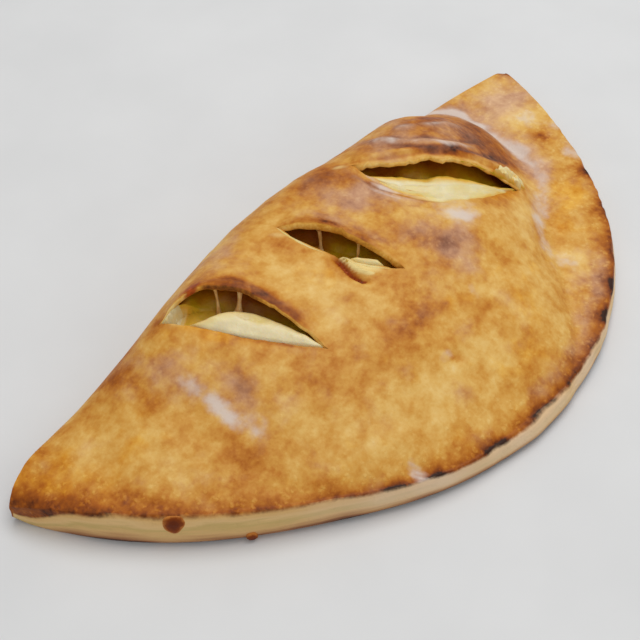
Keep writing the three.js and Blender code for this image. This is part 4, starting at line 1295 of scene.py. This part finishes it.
def string_material():
    s = Shader("stretched_cheese")
    base = s.blend(s.step(s.noise(2.5), -0.2, 0.2), *STRING_COLOURS)
    return s.surface(Base_Color=base, Roughness=0.35, Subsurface_Weight=0.4,
                     Subsurface_Radius=(1.0, 0.7, 0.4), Subsurface_Scale=0.002)


def drop_material():
    s = Shader("burnt_filling")
    spread = s.sum(s.shade("spread"), (s.noise(1.6, 3), 0.5), (s.noise(4), 0.3))
    s.bump(s.times(s.noise(1.2), 0.2))
    return s.surface(Base_Color=s.ramp(spread, DROP_COLOURS), Roughness=0.5, Specular_IOR_Level=0.15)


# ---- Floor, light and camera ----

CAMERA_PLACE = (-270.4, -224.9, 365.5)  # in the dough's plan
CAMERA_AIM = (0.5204, 0.4123, -0.7478)  # the way it looks
LENS_MM, SENSOR_MM = 71.7, 36.0
FLOOR_HALF = 3.0  # metres
FLOOR_COLOURS = [(218, 219, 220), (224, 225, 226)]
# Lights that face the part: place in metres, watts.
LIGHTS = {"overhead": ((0.30, 0.05, 1.15), 7.5), "front_fill": ((-0.4, -1.1, 0.9), 1.6)}
LIGHT_WIDTH = 0.9  # metres
ROOM_LIGHT = 0.46  # strength of the even light from all around


def turned_to(direction):
    return Vector(direction).to_track_quat("-Z", "Y").to_euler()


def add_camera():
    camera = added("camera", bpy.data.cameras.new("camera"))
    camera.data.lens = LENS_MM
    camera.data.sensor_width = SENSOR_MM
    camera.data.clip_end = 20
    camera.location = placed(np.array(CAMERA_PLACE))
    camera.rotation_euler = turned_to(CAMERA_AIM)
    bpy.context.scene.camera = camera


def add_floor():
    mesh = bpy.data.meshes.new("floor")
    corners = [(FLOOR_HALF * x, FLOOR_HALF * y, 0) for x, y in ((-1, -1), (1, -1), (1, 1), (-1, 1))]
    mesh.from_pydata(corners, [], [(0, 1, 2, 3)])
    s = Shader("pale_floor")
    base = s.blend(s.step(s.noise(60, 3), -0.3, 0.3), *FLOOR_COLOURS)
    mesh.materials.append(s.surface(Base_Color=base, Roughness=0.7))
    floor = added("floor", mesh)


def add_lights():
    for name, (place, watts) in LIGHTS.items():
        light = bpy.data.lights.new(name, "AREA")
        light.shape = "DISK"
        light.size = LIGHT_WIDTH
        light.energy = watts
        lamp = added(name, light)
        lamp.location = place
        lamp.rotation_euler = turned_to(-Vector(place))
    world = bpy.data.worlds.new("soft_room")
    world.use_nodes = True
    background = world.node_tree.nodes["Background"]
    background.inputs["Color"].default_value = (1.0, 0.99, 0.97, 1.0)
    background.inputs["Strength"].default_value = ROOM_LIGHT
    bpy.context.scene.world = world


# ---- The scene ----

add_camera()
add_floor()
add_lights()
bpy.context.scene.view_settings.view_transform = "Standard"

all_columns = Columns()
crust, rim_wall = crust_solid(all_columns)
cheese = cheese_solid(all_columns)
strings = string_solid()
curl = curl_solid()
spill = spill_solid()
drops = drop_solid(all_columns, rim_wall)

crust.data.materials.append(crust_material())
filling = cheese_material()
for piece in (cheese, curl, spill):
    piece.data.materials.append(filling)
strings.data.materials.append(string_material())
drops.data.materials.append(drop_material())

for piece in (crust, cheese, strings, curl, spill, drops):
    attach(piece, "root")
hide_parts("crust")
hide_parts("cheese_filling")
